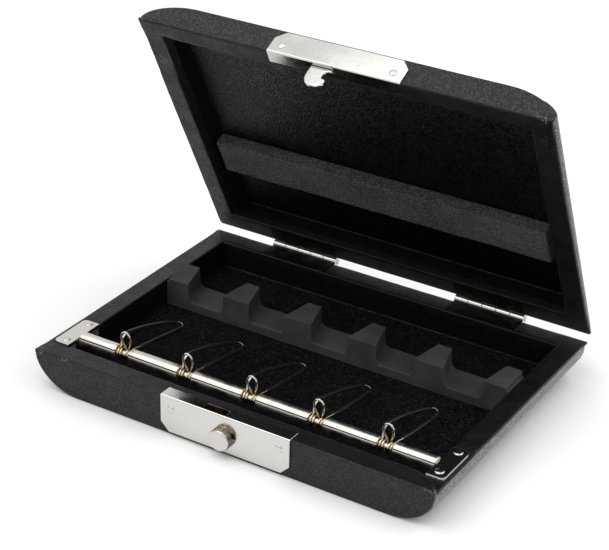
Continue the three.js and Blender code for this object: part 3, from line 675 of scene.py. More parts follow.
def finish(ob, material, body, slot, *nodes, angle=40, weighted=True):
    """Shade a piece, give it its material and tell the frame where it belongs."""
    for face in ob.data.polygons:
        face.use_smooth = True
    ob.data.set_sharp_from_angle(angle=radians(angle))
    if weighted:
        mod = ob.modifiers.new("w", "WEIGHTED_NORMAL")
        mod.keep_sharp, mod.weight, mod.mode = True, 80, "FACE_AREA"
    ob.data.materials.clear()
    ob.data.materials.append(MATERIALS[material])
    for face in ob.data.polygons:
        face.material_index = 0
    if body == "lid":
        ob.matrix_world = LID_OPEN
    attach(ob, body)
    if nodes:
        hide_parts(*nodes)


def repaint(ob, material, picks):
    """Give a second material to the faces that picks(face) chooses."""
    ob.data.materials.append(MATERIALS[material])
    for face in ob.data.polygons:
        if picks(face):
            face.material_index = 1


# ------------------------------------------------------------ leather shells
QUARTER = [pi / 2 * i / 40 for i in range(41)]
SHELL_ROUND = 0.42      # bevel of the shells' outer edges


def leaf_cuts(z0, z1):
    return [block(lo.x - 0.1, hi.x + 0.1, lo.y - 0.1, HALF_Y + 2, z0, z1)
            for lo, hi in LEAF.values()]


def plate_cut(plate, y0, z0, z1):
    lo, hi = plate
    return block(lo.x - 0.06, hi.x + 0.06, y0, hi.y + 0.06, z0, z1)


def hook_cut(depth):
    lo, hi = HOOK
    return block(lo.x - 0.2, hi.x + 0.2, lo.y - 0.2, hi.y + 0.2, LID_RIM - 1, LID_RIM + depth)


def seam_cuts(half_x, z0, z1):
    """Four shallow grooves in a rectangle on the outer flat face."""
    y0, y1, x0, x1 = 39.25, 39.6, half_x - 0.05, half_x + 0.3
    return [block(-half_x, half_x, -y1, -y0, z0, z1), block(-half_x, half_x, y0, y1, z0, z1),
            block(-x1, -x0, -y1, y1, z0, z1), block(x0, x1, -y1, y1, z0, z1)]


def plump(ob, body, corners, ends=()):
    """The leather's soft fullness.

    corners are (x side, y side, amount, reach, depth); ends are (x side, front amount, back amount).
    """
    rim, into = RIMS[body][:2]
    end_depth = 7.5
    for vert in ob.data.vertices:
        x, y, z = vert.co / MM
        deep = into * (z - rim)
        at_end = abs(x) >= IN_X + 1.2
        for sx, sy, amount, reach, depth in corners:
            if at_end or abs(y) >= HALF_Y - 2.4:
                k = amount * exp(-((x - sx * HALF_X) ** 2 + (y - sy * HALF_Y) ** 2) / reach ** 2)
                k *= exp(-(max(0.0, deep) / depth) ** 2)
                vert.co.x += sx * k * MM
                vert.co.y += sy * k * 0.25 * MM
        for sx, front, back in ends:
            if x * sx > IN_X + 1.2 and 0 < deep < end_depth:
                t = (y + HALF_Y) / (2 * HALF_Y)
                swell = sin(pi * (deep / end_depth) ** 0.8) ** 1.2
                vert.co.x += sx * (front * (1 - t) + back * t) * swell * MM


def base_shell():
    curve_x, curve_z = 13.0, 9.6      # rounding of the ends down to the underside
    right = [(HALF_X - curve_x + curve_x * sin(a), curve_z * (1 - cos(a))) for a in QUARTER]
    right.append((HALF_X, RIM - WRAP))
    ob = prism(right + [(-x, z) for x, z in reversed(right)], "y", -HALF_Y, HALF_Y, "base_case")
    bevel(ob, SHELL_ROUND, 4)
    cuts = [block(-IN_X - SKIN, IN_X + SKIN, IN_FRONT - SKIN, IN_BACK + SKIN, FLOOR_UNDER, RIM + 5),
            block(-9, 13.4, -HALF_Y - 1, -HALF_Y + 3.4, 3.0, RIM + 1),       # latch pocket
            plate_cut(PLATE_BASE, -HALF_Y + 0.2, PLATE_BASE[1].z - 0.45, RIM + 1)]
    cuts += leaf_cuts(RIM - 0.45, RIM + 1)
    cuts += seam_cuts(46, -1, 0.18)
    for s, tag in SIDES:
        lo, hi = node_box(f"rod_bracket_{tag}")
        cuts.append(side_block(s, IN_X - 0.2, BRACKET[1].x + 0.08, lo.y - 0.08, hi.y + 0.08,
                               RIM - 0.8, RIM + 1))
        cuts.append(side_block(s, IN_X, IN_X + 1.7, ROD_Y - 2.6, ROD_Y + 2.6, 8.0, RIM))
    boolean(ob, cuts)
    plump(ob, "base", corners=[(-1, -1, 0.72, 3.4, 5.5)])
    finish(ob, "leather_base", "base", "leather", "base_shell", angle=35)


def lid_shell():
    curve_x, curve_z = 14.5, 7.6      # rounding of the ends up to the top
    right = [(HALF_X - curve_x + curve_x * cos(a), LID_TOP - curve_z + curve_z * sin(a))
             for a in QUARTER]
    right[0] = (right[0][0], max(right[0][1], LID_RIM + WRAP))
    ob = prism(right + [(-x, z) for x, z in reversed(right)], "y", -HALF_Y, HALF_Y, "lid_case")
    bevel(ob, SHELL_ROUND, 4)
    low, deep = LID_RIM - 1, PANEL[1].z + 0.1
    a, b = lean(low) + SKIN, lean(deep) + SKIN
    cuts = [prism([(-a, low), (a, low), (b, deep), (-b, deep)], "y",
                  LID_FRONT - SKIN, LID_BACK + SKIN),
            plate_cut(PLATE_LID, -HALF_Y + 0.2, low, LID_RIM + 0.45),
            hook_cut(1.5)]
    cuts += leaf_cuts(low, LID_RIM + 0.45 + 0.06)
    cuts += seam_cuts(44, LID_TOP - 0.18, LID_TOP + 1)
    boolean(ob, cuts)
    plump(ob, "lid", corners=[(1, -1, 0.35, 3.0, 4.0)], ends=[(1, 1.15, 0.30), (-1, 0.2, 0.2)])
    finish(ob, "leather_lid", "lid", "leather", "lid_shell", angle=35)


# doubled leather at the folded corners: x side, y side, amount, reach
CORNER_FOLDS = ((-1, -1, 0.48, 3.4), (1, -1, 0.35, 2.6), (-1, 1, 0.25, 2.5), (1, 1, 0.25, 2.5))


def ring(prefix, body, section, gap, step, wave=0.0, seed=0.0, lip=None):
    """Four mitred strips round a rim, as [(side, object)].

    section is [(from, d, h)]: d counts outwards from the inner edge ("i") or the outer face
    ("o"); h goes into the material, and a text h is a share of the lip's depth at that place.
    """
    rim, into, inner_x, y0, y1 = RIMS[body]
    side_w, front_w, back_w = HALF_X - IN_X, y0 + HALF_Y, HALF_Y - y1
    k = len(section)
    strips = []
    for side, width in (("front", front_w), ("right", side_w), ("back", back_w), ("left", side_w)):
        along_x = side in ("front", "back")
        sign = 1 if side in ("front", "right") else -1
        steps = max(4, int(2 * (HALF_X if along_x else HALF_Y) / step))
        v = []
        for i in range(steps + 1):
            t = i / steps
            for origin, d, h in section:
                deep = float(h) * lip(side, t) if isinstance(h, str) else h
                out = d if origin == "i" else width + d
                z = rim + into * deep
                inner = inner_x(z if origin == "i" and out < 1.0 else rim)
                if along_x:
                    half = inner + out * side_w / width - gap
                    x = (-half + 2 * half * t) * sign
                    y = y0 - out if side == "front" else y1 + out
                else:
                    a = y0 - out * front_w / width + gap
                    b = y1 + out * back_w / width - gap
                    y = a + (b - a) * (t if side == "right" else 1 - t)
                    x = (inner + out) * sign
                v.append((x, y, z))
        faces = [tuple(range(k)), tuple(range((steps + 1) * k - 1, steps * k - 1, -1))]
        for i in range(steps):
            for j in range(k):
                j2 = (j + 1) % k
                faces.append((i * k + j, (i + 1) * k + j, (i + 1) * k + j2, i * k + j2))
        v = np.array(v)
        if wave:
            outer = np.tile([1.0 if o == "o" and d > -0.4 else 0.0 for o, d, _ in section],
                            steps + 1)
            top = np.tile([0.3 if isinstance(h, str) or h > 0.3 else 1.0 for _, _, h in section],
                          steps + 1)
            n = field(v, 0.16, seed, 3) + 0.5 * field(v, 0.9, seed + 5, 1)
            v[:, 2] += n * wave * top
            v[:, 1 if along_x else 0] += n * wave * outer
            # the hinge side is lapped double, and so is the lid's right end
            if side == "back":
                v[:, 1] += 0.24 * outer
            if side == "right" and body == "lid":
                v[:, 0] += 0.15 * outer
            for sx, sy, amount, reach in CORNER_FOLDS:
                if body == "lid" and sx < 0:
                    amount = 0.3 * amount
                distance = np.hypot(v[:, 0] - sx * HALF_X, v[:, 1] - sy * HALF_Y)
                push = amount * np.exp(-(distance / reach) ** 2) * outer
                v[:, 0] += push * sx
                v[:, 1] += push * 0.25 * sy
        strips.append((side, make(f"{prefix}_{side}", v, faces)))
    return strips


# section of the leather edging, columns as in ring()
EDGING = [
    ("i", SKIN - 0.02, WRAP), ("o", -0.3, WRAP), ("o", 0.0, WRAP + 0.12), ("o", 0.01, "1.0"),
    ("o", 0.10, "0.98"), ("o", 0.145, "0.85"), ("o", 0.15, "0.6"), ("o", 0.12, 0.26),
    ("o", 0.05, 0.12), ("o", -0.08, 0.035), ("o", -0.3, 0.0), ("o", -1.2, 0.0),
    ("o", -2.2, 0.015), ("i", 2.0, 0.015), ("i", 1.1, 0.0), ("i", 0.55, 0.0), ("i", 0.28, 0.045),
    ("i", 0.1, 0.14), ("i", 0.02, 0.3), ("i", 0.0, 0.6), ("i", 0.0, 1.3), ("i", 0.0, 2.1),
    ("i", 0.03, 2.4), ("i", 0.1, 2.52), ("i", 0.22, 2.55), ("i", SKIN - 0.02, 2.5),
    ("i", SKIN - 0.02, 1.4)]


def base_lip(side, t):
    """Depth of the lip on the outer face; the front one is deepest at its left end."""
    if side == "front":
        return 0.42 + 0.75 * max(0.0, 1 - t / 0.30) + 0.06 * sin(t * 23)
    return 0.75 + 0.08 * sin(t * 17 + 1)


def lid_lip(side, t):
    if side == "front":
        return 0.50 + 0.07 * sin(t * 19 + 2)
    return 0.75 + 0.08 * sin(t * 15)


def dent(ob, centre_x, half_x, reach, push, share):
    """Move the leather round both rod brackets by push; share(z) fades it with height."""
    lo, hi = BRACKET
    for vert in ob.data.vertices:
        x, y, z = vert.co / MM
        dx = max(0.0, abs(abs(x) - centre_x) - half_x)
        dy = max(0.0, abs(y - (lo.y + hi.y) / 2) - (hi.y - lo.y) / 2)
        k = max(0.0, 1 - hypot(dx, dy) / reach) * share(z)
        vert.co.z += push * MM * ease(k)


def base_edging():
    for side, ob in ring("base_edging", "base", EDGING, gap=0.085, step=1.6, wave=0.045,
                         seed=3.0, lip=base_lip):
        # pressed down round the metal brackets, so their edges show
        dent(ob, centre_x=56.5, half_x=2.6, reach=2.2, push=-0.29,
             share=lambda z: 1.0 if z > RIM - 0.5 else 0.0)
        cuts = []
        if side == "back":
            cuts += leaf_cuts(RIM - 1, RIM + 1)
        if side == "front":
            cuts.append(plate_cut(PLATE_BASE, -HALF_Y - 1, RIM - 1, RIM + 1))
        for s, tag in SIDES:
            if side in ("front", tag):
                cuts.append(side_block(s, IN_X - 0.5, BRACKET[1].x + 0.06, BRACKET[0].y - 0.06,
                                       BRACKET[1].y + 0.06, RIM - 4, RIM + 1))
        boolean(ob, cuts)
        finish(ob, "leather_edging", "base", "leather")


def lid_edging():
    for side, ob in ring("lid_edging", "lid", EDGING, gap=0.10, step=1.6, wave=0.055,
                         seed=11.0, lip=lid_lip):
        # dented a little where it shuts down on the brackets
        dent(ob, centre_x=55.6, half_x=3.4, reach=3.0, push=0.31,
             share=lambda z: min(1.0, max(0.0, 1 - (z - LID_RIM) / 2.2)))
        if side == "back":
            boolean(ob, leaf_cuts(LID_RIM - 1, LID_RIM + 1))
        if side == "front":
            boolean(ob, [plate_cut(PLATE_LID, -HALF_Y - 1, LID_RIM - 1, LID_RIM + 1.6),
                         hook_cut(1.6)])
        finish(ob, "leather_edging_lid", "lid", "leather")


def wall_linings():
    """Thin flocked sheets on the inner walls, tucked under the leather edging."""
    face, back, top = 0.04, SKIN - 0.02, 2.62
    for body, bottom in (("base", RIM - FLOOR + 0.15), ("lid", CEILING - LID_RIM + 0.2)):
        section = [("i", face, top + 0.1), ("i", face - 0.03, (top + bottom) / 2),
                   ("i", face, bottom), ("i", back, bottom), ("i", back, top),
                   ("i", face + 0.08, top)]
        for side, ob in ring(f"{body}_wall_lining", body, section, gap=0.02, step=3.0):
            for s, tag in SIDES:
                if body == "base" and side == tag:
                    boolean(ob, [side_block(s, IN_X - 0.5, IN_X + 1.0, BRACKET[0].y - 0.2,
                                            BRACKET[1].y + 0.2, 8.0, RIM + 1)])
            finish(ob, "wall_lining", body, "flock")


def board_edge(name, half_x, y, z, swing, pace, row, radius, body, slot):
    """Cut edge of a board, wavering in height along x."""
    pts = [(x, y, z + swing * noise.noise(Vector((x * pace, row, 0.0))))
           for x in np.linspace(-half_x, half_x, 90)]
    ob = sweep(name, pts, radius, 8)
    finish(ob, "board_edge", body, slot, angle=60, weighted=False)


def floor_flock():
    inset = 0.02
    lo = (-IN_X + inset, IN_FRONT + inset, FLOOR_UNDER)
    hi = (IN_X - inset, IN_BACK - inset, FLOOR)
    p, n, faces = rounded_box(lo, hi, (0.85, 0.85, 0.4), 0.22)
    top = n[:, 2] > 0.5
    height = field(p, 0.9, 1.0, 2) * 0.05 + field(p, 0.09, 7.0, 2) * 0.10 - 0.07
    p = p + n * (height * top)[:, None]
    # the pile is flattened where the ends of the springs come down on it
    for x in CLIP_X:
        away = np.hypot((p[:, 0] - x) / 2.8, (p[:, 1] - ROD_Y - 23.2) / 3.4)
        p[:, 2] -= 0.42 * ease(np.clip((1.6 - away) / 0.75, 0.0, 1.0)) * top
    ob = make("floor_flock", p, faces)
    finish(ob, "floor_flock", "base", "flock", "base_floor_lining", angle=60, weighted=False)
    board_edge("floor_board_edge", half_x=IN_X - 0.6, y=IN_BACK - 0.24, z=FLOOR - 0.04,
               swing=0.05, pace=0.15, row=1.0, radius=0.2, body="base", slot="flock")


def ceiling_panel():
    half_x = PANEL[1].x
    lo, hi = (-half_x, LID_FRONT + 0.1, CEILING), (half_x, LID_BACK - 0.1, PANEL[1].z)
    p, n, faces = rounded_box(lo, hi, (1.0, 1.0, 0.25), 0.2)
    # padded leather: crowned between its borders and drawn flat under the foam
    x, y = p[:, 0], p[:, 1]
    from_end = np.minimum(x + half_x, half_x - x)
    foam_front, foam_back = FOAM[0].y, FOAM[1].y
    front = np.clip((foam_front - y) / (foam_front - lo[1]), 0, 1)
    back = np.clip((y - foam_back) / (hi[1] - foam_back), 0, 1)
    crown = np.where(y < foam_front, 0.42 * (np.sin(pi * front) ** 0.6), 0.0)
    crown = np.where(y > foam_back, 0.22 * (np.sin(pi * back) ** 0.6), crown)
    crown = crown * np.clip(from_end / 9.0, 0, 1) ** 0.5
    waver = field(p, 0.05, 4.0, 2) * 0.07
    p[:, 2] -= np.where(n[:, 2] < -0.5, crown + waver * (crown > 0.02), 0.0)
    ob = make("ceiling_panel", p, faces)
    finish(ob, "panel_leather", "lid", "panel_leather", "lid_ceiling_panel", angle=60,
           weighted=False)
    board_edge("ceiling_board_edge", half_x=half_x - 0.6, y=LID_BACK - 0.2, z=CEILING - 0.03,
               swing=0.06, pace=0.12, row=5.0, radius=0.17, body="lid", slot="panel_leather")


def foam_strip():
    lo, hi = np.array(FOAM[0]), np.array(FOAM[1])
    reach = min(lean(z) for z in (lo[2], hi[2])) - 0.15
    hi[0] = max(hi[0], min(hi[0] + 2.2, reach))
    p, n, faces = rounded_box(lo, hi, (0.5, 0.5, 0.5), 0.42)
    pores, soft = field(p, 1.7, 2.0, 2), field(p, 0.05, 9.0, 2)
    free = np.clip((hi[2] - p[:, 2]) / 0.8, 0, 1)      # the glued face stays flat
    p = p + n * ((-0.09 + 0.10 * pores + 0.20 * soft) * free)[:, None]
    ob = make("foam_strip", p, faces)
    finish(ob, "charcoal_foam", "lid", "foam", "lid_foam_strip", angle=75, weighted=False)


# ---------------------------------------------------------------- reed rack
def rack():
    """Block with five troughs, wider at the front than at the back."""
    half_x, y0, y1, top = RACK[1].x, RACK[0].y, RACK[1].y, RACK[1].z
    pitch, front_wall, rear_wall = 20.4, 9.0, 4.5
    front_floor, rear_floor, r = 6.5, 7.0, 2.0      # trough floors and their corner radius
    over = 0.6                                      # how far a cutter runs past the block
    ob = prism([(y0, FLOOR), (y1, FLOOR), (y1, top), (y0, top - 0.8)], "x", -half_x, half_x,
               "rack")
    cuts = [side_block(s, IN_X - 0.8, IN_X + 1, y0 - 1, y1 + 1, RIM - 0.2, top + 1)
            for s, _ in SIDES]
    front, rear = (pitch - front_wall) / 2, (pitch - rear_wall) / 2
    spread = (rear - front) * (over / (y1 - y0))
    turns = [j / 7 * pi / 2 for j in range(8)]

    def section(centre, half, y, floor):
        left = [(centre - half + r * (1 - cos(a)), y, floor + r * (1 - sin(a))) for a in turns]
        right = [(centre + half - r * (1 - cos(a)), y, floor + r * (1 - sin(a)))
                 for a in reversed(turns)]
        return [(centre + half + 0.5, y, 20), (centre - half - 0.5, y, 20)] + left + right

    for i in range(5):
        centre = (i - 2) * pitch
        a = section(centre, front - spread, y0 - over, front_floor)
        b = section(centre, rear + spread, y1 + over, rear_floor)
        n = len(a)
        faces = [tuple(range(n)), tuple(range(2 * n - 1, n - 1, -1))]
        faces += [(j, (j + 1) % n, n + (j + 1) % n, n + j) for j in range(n)]
        cuts.append(make("cutter", a + b, faces))
        chamfer = [(y0 - 1, front_floor - 1.0), (y0 + 1.0, front_floor + 0.6),
                   (y0 - 1, front_floor + 1.6)]
        cuts.append(prism(chamfer, "x", centre - front + 0.7, centre + front - 0.7))
    boolean(ob, cuts)
    bevel(ob, 0.28, 3, 28)
    finish(ob, "rack_rubber", "base", "rack_rubber", "reed_rack", angle=50)


# ------------------------------------------------------------- rod and clips
BEND = (0.4, 0.8, 1.2)     # inner angles of a rounded corner, radians
AT_ROD = (0, ROD_Y, ROD_Z)


def pin_hole(radius, x0, x1, at, seg):
    return lathe("cutter", [(0, x0 - 1), (radius, x0 - 1), (radius, x1 + 1), (0, x1 + 1)],
                 "x", at, seg)


def dome(name, at, radius, height, shank, seat, axis="z", sign=1):
    """Domed head on a shank; seat is the height of the head's underside."""
    profile = [(0.0, -shank), (0.36, -shank + 0.2), (0.4, -0.05), (radius * 0.98, -0.04),
               (radius, 0.03)]
    for i in range(1, 9):
        a = pi / 2 * i / 8
        profile.append((radius * cos(a) if i < 8 else 0.0, 0.03 + (height - 0.03) * sin(a)))
    return lathe(name, [(r, sign * h + seat) for r, h in profile], axis, at, 28)


def bracket(s, tag):
    lo, hi = node_box(f"rod_bracket_{tag}")
    y0, y1, x_out, r = lo.y, hi.y, BRACKET[1].x, 1.2
    plan = ([(IN_X, y0), (x_out - r, y0)] + rise(x_out - r, y0 + r, r, BEND)
            + [(x_out, y0 + r), (x_out, y1 - r)] + arc(x_out - r, y1 - r, r, BEND)
            + [(x_out - r, y1), (IN_X, y1)])
    ob = prism([(s * x, y) for x, y in plan], "z", RIM - 0.8, RIM + 0.22, f"bracket_{tag}")
    x0, x1 = sorted((s * IN_X, s * (IN_X + 0.8)))
    # the tab that hangs down and holds the rod: y from the rod, z
    tab = [(-2.4, RIM - 0.3), (-2.4, 9.4), (-1.7, 8.6), (-0.8, 8.4),
           (0.8, 8.4), (1.7, 8.6), (2.4, 9.4), (2.4, RIM - 0.3)]
    boolean(ob, [prism([(ROD_Y + y, z) for y, z in tab], "x", x0, x1)], "UNION")
    boolean(ob, [pin_hole(0.58, x0, x1, AT_ROD, 24)])
    bevel(ob, 0.28, 4, 35)
    finish(ob, "nickel_plate", "base", "nickel", f"rod_bracket_{tag}")

    # faces along the plate's outer right and front edges; on the right bracket they get a painted
    # highlight
    def painted_light(face):
        c, n = face.center / MM, face.normal
        return c.z > RIM - 0.6 and n.z < 0.93 and (
            (n.x > 0.25 and c.x > x_out - 1.3) or (n.y < -0.25 and c.y < y0 + 1.3))

    if tag == "right":
        repaint(ob, "nickel_painted_highlight", painted_light)
    for i in (1, 2):
        node = f"bracket_screw_{tag}_{i}"
        lo, hi = node_box(node)
        ob = dome(f"screw_{tag}_{i}", ((lo.x + hi.x) / 2, (lo.y + hi.y) / 2, 0),
                  radius=1.22, height=hi.z - RIM, shank=4.8, seat=RIM + 0.22)
        finish(ob, "nickel_small", "base", "nickel", node, angle=50, weighted=False)


def spacer(i):
    """Rolled tube on the rod; its butt seam is a fine dark line up the front."""
    node = f"rod_spacer_{i}"
    lo, hi = node_box(node)
    a, b, bore, r = lo.x, hi.x, 1.05, 0.3
    radius = (hi.z - lo.z) / 2 + (0.34 if i < 3 else 0.20)
    seam, seam_half = 146.0, 4.4
    parts = max(2, int((b - a) / 3))
    profile = [(bore, a + 0.06), (bore + 0.1, a), (radius - r, a)]
    profile += rise(radius - r, a + r, r, (*BEND, 1.5708))
    profile += [(radius, a + r + (b - a - 2 * r) * k / parts) for k in range(1, parts)]
    profile += arc(radius - r, b - r, r, (0.0, *BEND))
    profile += [(radius - r, b), (bore + 0.1, b), (bore, b - 0.06)]
    ob = lathe(f"spacer_{i}", profile, "x", AT_ROD, 56, closed=True,
               groove=(seam, seam_half, 0.22))
    finish(ob, "nickel_tube", "base", "nickel", node, angle=60, weighted=False)

    def in_seam(face):
        y, z = face.center.y / MM - ROD_Y, face.center.z / MM - ROD_Z
        return (face.normal.x ** 2 < 0.5 and 1.3 < hypot(y, z) < radius - 0.06
                and abs(degrees(atan2(z, y)) - seam) < seam_half + 0.1)

    repaint(ob, "dark_bronze", in_seam)


def rod():
    for s, tag in SIDES:
        bracket(s, tag)
    lo, hi = node_box("rod_core")
    end, r, thick = IN_X - 0.05, 0.5, 0.9       # thick between the brackets, thin through them
    ob = lathe("rod", [(0, lo.x), (r - 0.08, lo.x), (r, lo.x + 0.08), (r, -end),
                       (thick - 0.08, -end), (thick, -end + 0.08), (thick, end - 0.08),
                       (thick - 0.08, end), (r, end), (r, hi.x - 0.08), (r - 0.08, hi.x),
                       (0, hi.x)], "x", AT_ROD, 32)
    finish(ob, "nickel_tube", "base", "nickel", "rod_core", weighted=False)
    for i in range(1, 7):
        spacer(i)


# (x, y, z) from the clip's middle on the rod
LEFT_LEG = [(-1.05, 24.3, -2.15), (-1.22, 21.2, -0.85), (-1.6, 16.0, 0.95), (-1.88, 10.2, 2.65),
            (-1.96, 6.3, 3.6), (-2.0, 3.7, 4.15), (-2.02, 1.95, 3.55), (-1.98, 1.3, 2.4),
            (-1.82, 0.9, 1.6)]
RIGHT_LEG = [(1.25, 24.0, -3.0), (1.55, 21.8, -2.45), (2.0, 18.0, -1.5), (2.3, 13.0, -0.35),
             (2.35, 8.0, 0.42), (2.15, 4.2, 0.95), (1.85, 1.8, 1.25)]
LOOP = [(-0.62, 1.28, 0.85), (-1.02, 1.14, 1.75), (-1.42, 0.98, 2.75), (-1.66, 0.86, 3.75),
        (-1.62, 0.76, 4.7), (-1.28, 0.66, 5.5), (-0.78, 0.6, 6.03), (-0.2, 0.56, 6.22),
        (0.38, 0.6, 6.05), (0.86, 0.66, 5.55), (1.18, 0.76, 4.7), (1.22, 0.86, 3.75),
        (1.0, 0.98, 2.75), (0.68, 1.14, 1.75), (0.45, 1.28, 0.85)]
TIP = [(1.12, 24.75, -3.05), (0.78, 25.4, -2.95), (0.05, 25.72, -2.7), (-0.66, 25.45, -2.42),
       (-0.98, 24.9, -2.28)]


def clip_path():
    """Closed wire: left leg, coil, loop between the coils, coil, right leg, tip."""
    turns, radius, outer_x, inner_x, steps = 1.75, 1.3, 1.72, 0.38, 42

    def coil(x0, x1):
        return [(x0 + (x1 - x0) * i / steps, -radius * sin(i / steps * turns * 2 * pi),
                 radius * cos(i / steps * turns * 2 * pi)) for i in range(steps + 1)]

    left_coil, right_coil = coil(-outer_x, -inner_x), coil(outer_x, inner_x)
    left = spline(LEFT_LEG + [(-outer_x, 0.0, radius)], 7)[:-1]
    right = spline(RIGHT_LEG + [(outer_x, 0.0, radius)], 7)[:-1]
    loop = spline([left_coil[-1]] + LOOP + [right_coil[-1]], 5)[1:-1]
    tip = spline([RIGHT_LEG[0]] + TIP + [LEFT_LEG[0]], 5)[1:-1]
    return left + left_coil + loop + right_coil[::-1] + right[::-1] + tip


def clips():
    path = clip_path()
    for i, clip_x in enumerate(CLIP_X, 1):
        at = np.array((clip_x, ROD_Y, ROD_Z))
        ob = sweep(f"clip_{i}_spring", [np.array(p) + at for p in path], 0.29, 12, closed=True)
        finish(ob, "spring_wire", f"clip_{i}", "spring_wire", f"clip_{i}_wire", angle=80,
               weighted=False)
        for tag, leg in (("left", LEFT_LEG[:6]), ("right", RIGHT_LEG[:6])):
            pts = spline(leg, 8)
            last = len(pts) - 1
            radii = [0.53 * (0.80 + 0.20 * min(1.0, min(k, last - k) / 2.0))
                     + 0.010 * sin(k * 1.3 + i * 2.0) for k in range(last + 1)]
            ob = sweep(f"clip_{i}_tube_{tag}", [p + at for p in pts], radii, 14)
            finish(ob, "black_sleeve", f"clip_{i}", "sleeve", f"clip_{i}_sleeve_{tag}", angle=80,
                   weighted=False)


# -------------------------------------------------------------------- latch
def latch_plate(body, plate, y_in, z_far, z_rim, slots):
    """Sheet folded over the rim: face from z_far to z_rim, flange running back."""
    half_x, y_face, y_end = plate[1].x, plate[0].y, plate[1].y
    s = 1 if z_rim > z_far else -1
    r, r_in, flange, corner = 0.42, 0.12, 0.4, 2.5
    t = y_in - y_face
    outline = [(y_face, z_far)]
    outline += [(y_face + r - r * cos(a), z_rim - s * (r - r * sin(a)))
                for a in np.linspace(0, pi / 2, 7)]
    outline += [(y_end, z_rim), (y_end, z_rim - s * flange)]
    outline += [(y_face + t + r_in - r_in * sin(a), z_rim - s * flange - s * (r_in - r_in * cos(a)))
                for a in np.linspace(0, pi / 2, 4)]
    outline.append((y_face + t, z_far))
    ob = prism(outline, "x", -half_x, half_x, f"plate_{body}")
    past = z_far - s
    cuts = [prism([(e * (half_x + 1), past), (e * (half_x - corner - 1), past),
                   (e * (half_x + 1), z_far + s * (corner + 1))], "y", y_face - 1, y_in + 1)
            for e in (-1, 1)]
    boolean(ob, cuts + [block(*slot) for slot in slots])
    bevel(ob, 0.07, 2, 40)
    finish(ob, "nickel_plate", body, "nickel", f"latch_plate_{body}")
    return ob


def latch_plates():
    lo, hi = PLATE_BASE
    # the hook's slot in the flange and the knob's slot in the face
    slots = [(-6.7, 0.1, -42.5, -40.2, hi.z - 1, hi.z + 1),
             (0.0, 3.4, lo.y - 1, -HALF_Y + 0.6, 5.7, 7.3)]
    ob = latch_plate("base", PLATE_BASE, -HALF_Y, lo.z, hi.z, slots)

    # the right end edge of the flange, which gets a painted highlight
    def painted_light(face):
        c = face.center / MM
        return c.z > hi.z - 0.45 and face.normal.x > 0.25 and c.x > hi.x - 0.5

    repaint(ob, "nickel_painted_highlight", painted_light)
    low, high = PLATE_LID[0].z, PLATE_LID[1].z
    latch_plate("lid", PLATE_LID, PLATE_LID[0].y + 0.5, high, low,
                [(-6.5, 0.1, -42.1, -40.7, low - 1, LID_RIM + 1)])


def rivets():
    for i in (1, 2):
        for body, measure, plate in (("base", node_box, PLATE_BASE), ("lid", lid_box, PLATE_LID)):
            node = f"latch_rivet_{body}_{i}"
            lo, hi = measure(node)
            ob = dome(f"rivet_{body}_{i}", ((lo.x + hi.x) / 2, 0, (lo.z + hi.z) / 2),
                      radius=1.1, height=0.40, shank=3.0, seat=plate[0].y, axis="y", sign=-1)
            finish(ob, "nickel_plate", body, "nickel", node, angle=50, weighted=False)


# the hook's tongue with its notch: x, z from the lid's rim
TONGUE = [(-6.3, 0.0), (-6.28, -2.0), (-6.2, -3.6), (-6.0, -4.6), (-5.6, -5.3), (-5.0, -5.85),
          (-4.1, -6.25), (-3.0, -6.4), (-1.9, -6.28), (-1.0, -5.82), (-0.42, -5.1), (-0.2, -4.35),
          (-0.35, -3.8), (-0.8, -3.52), (-1.4, -3.4), (-1.72, -3.0), (-1.82, -2.5), (-1.74, -1.9),
          (-1.5, -1.35), (-0.95, -0.98), (-0.3, -0.82), (-0.12, -0.5), (-0.1, 0.0)]
HOOK_FOOT = [(-0.1, 0.4), (1.7, 0.4), (1.7, 1.2), (-8.1, 1.2), (-8.1, 0.4), (-6.3, 0.4)]
# the slider: x, z
SLIDER = [(0.3, 4.4), (7.6, 4.4), (7.6, 8.5), (2.6, 8.5), (2.6, 10.3), (-1.2, 10.3),
          (-1.2, 8.75), (0.3, 8.75)]


def hook():
    tongue = [p[:2] for p in spline([(x, z, 0) for x, z in TONGUE], 3)]
    outline = [(x, LID_RIM + z) for x, z in tongue + HOOK_FOOT]
    ob = prism(outline, "y", HOOK[0].y, HOOK[1].y, "hook")
    bevel(ob, 0.30, 4, 50)
    finish(ob, "nickel_plate", "lid", "nickel", "latch_hook")


def slider():
    lo, hi = node_box("latch_slider")
    ob = prism(SLIDER, "y", lo.y, hi.y, "slider")
    bevel(ob, 0.15, 3, 40)
    finish(ob, "brass_works", "latch", "nickel", "latch_slider")


# the knob's face, a shallow dish and a rounded lip: radius before KNOB_GROW, y from the face
KNOB_FACE = [(0.4, 0.10), (0.9, 0.085), (1.3, 0.06), (1.7, 0.025), (2.0, 0.0), (2.15, 0.01),
             (2.27, 0.05), (2.36, 0.13), (2.42, 0.24), (2.45, 0.36)]
KNOB_BACK = [(2.50, -0.10), (2.49, -0.05), (2.46, -0.01), (2.40, 0.0)]    # y from the back
KNOB_RADIUS = 3.12
KNOB_GROW = KNOB_RADIUS / 2.58


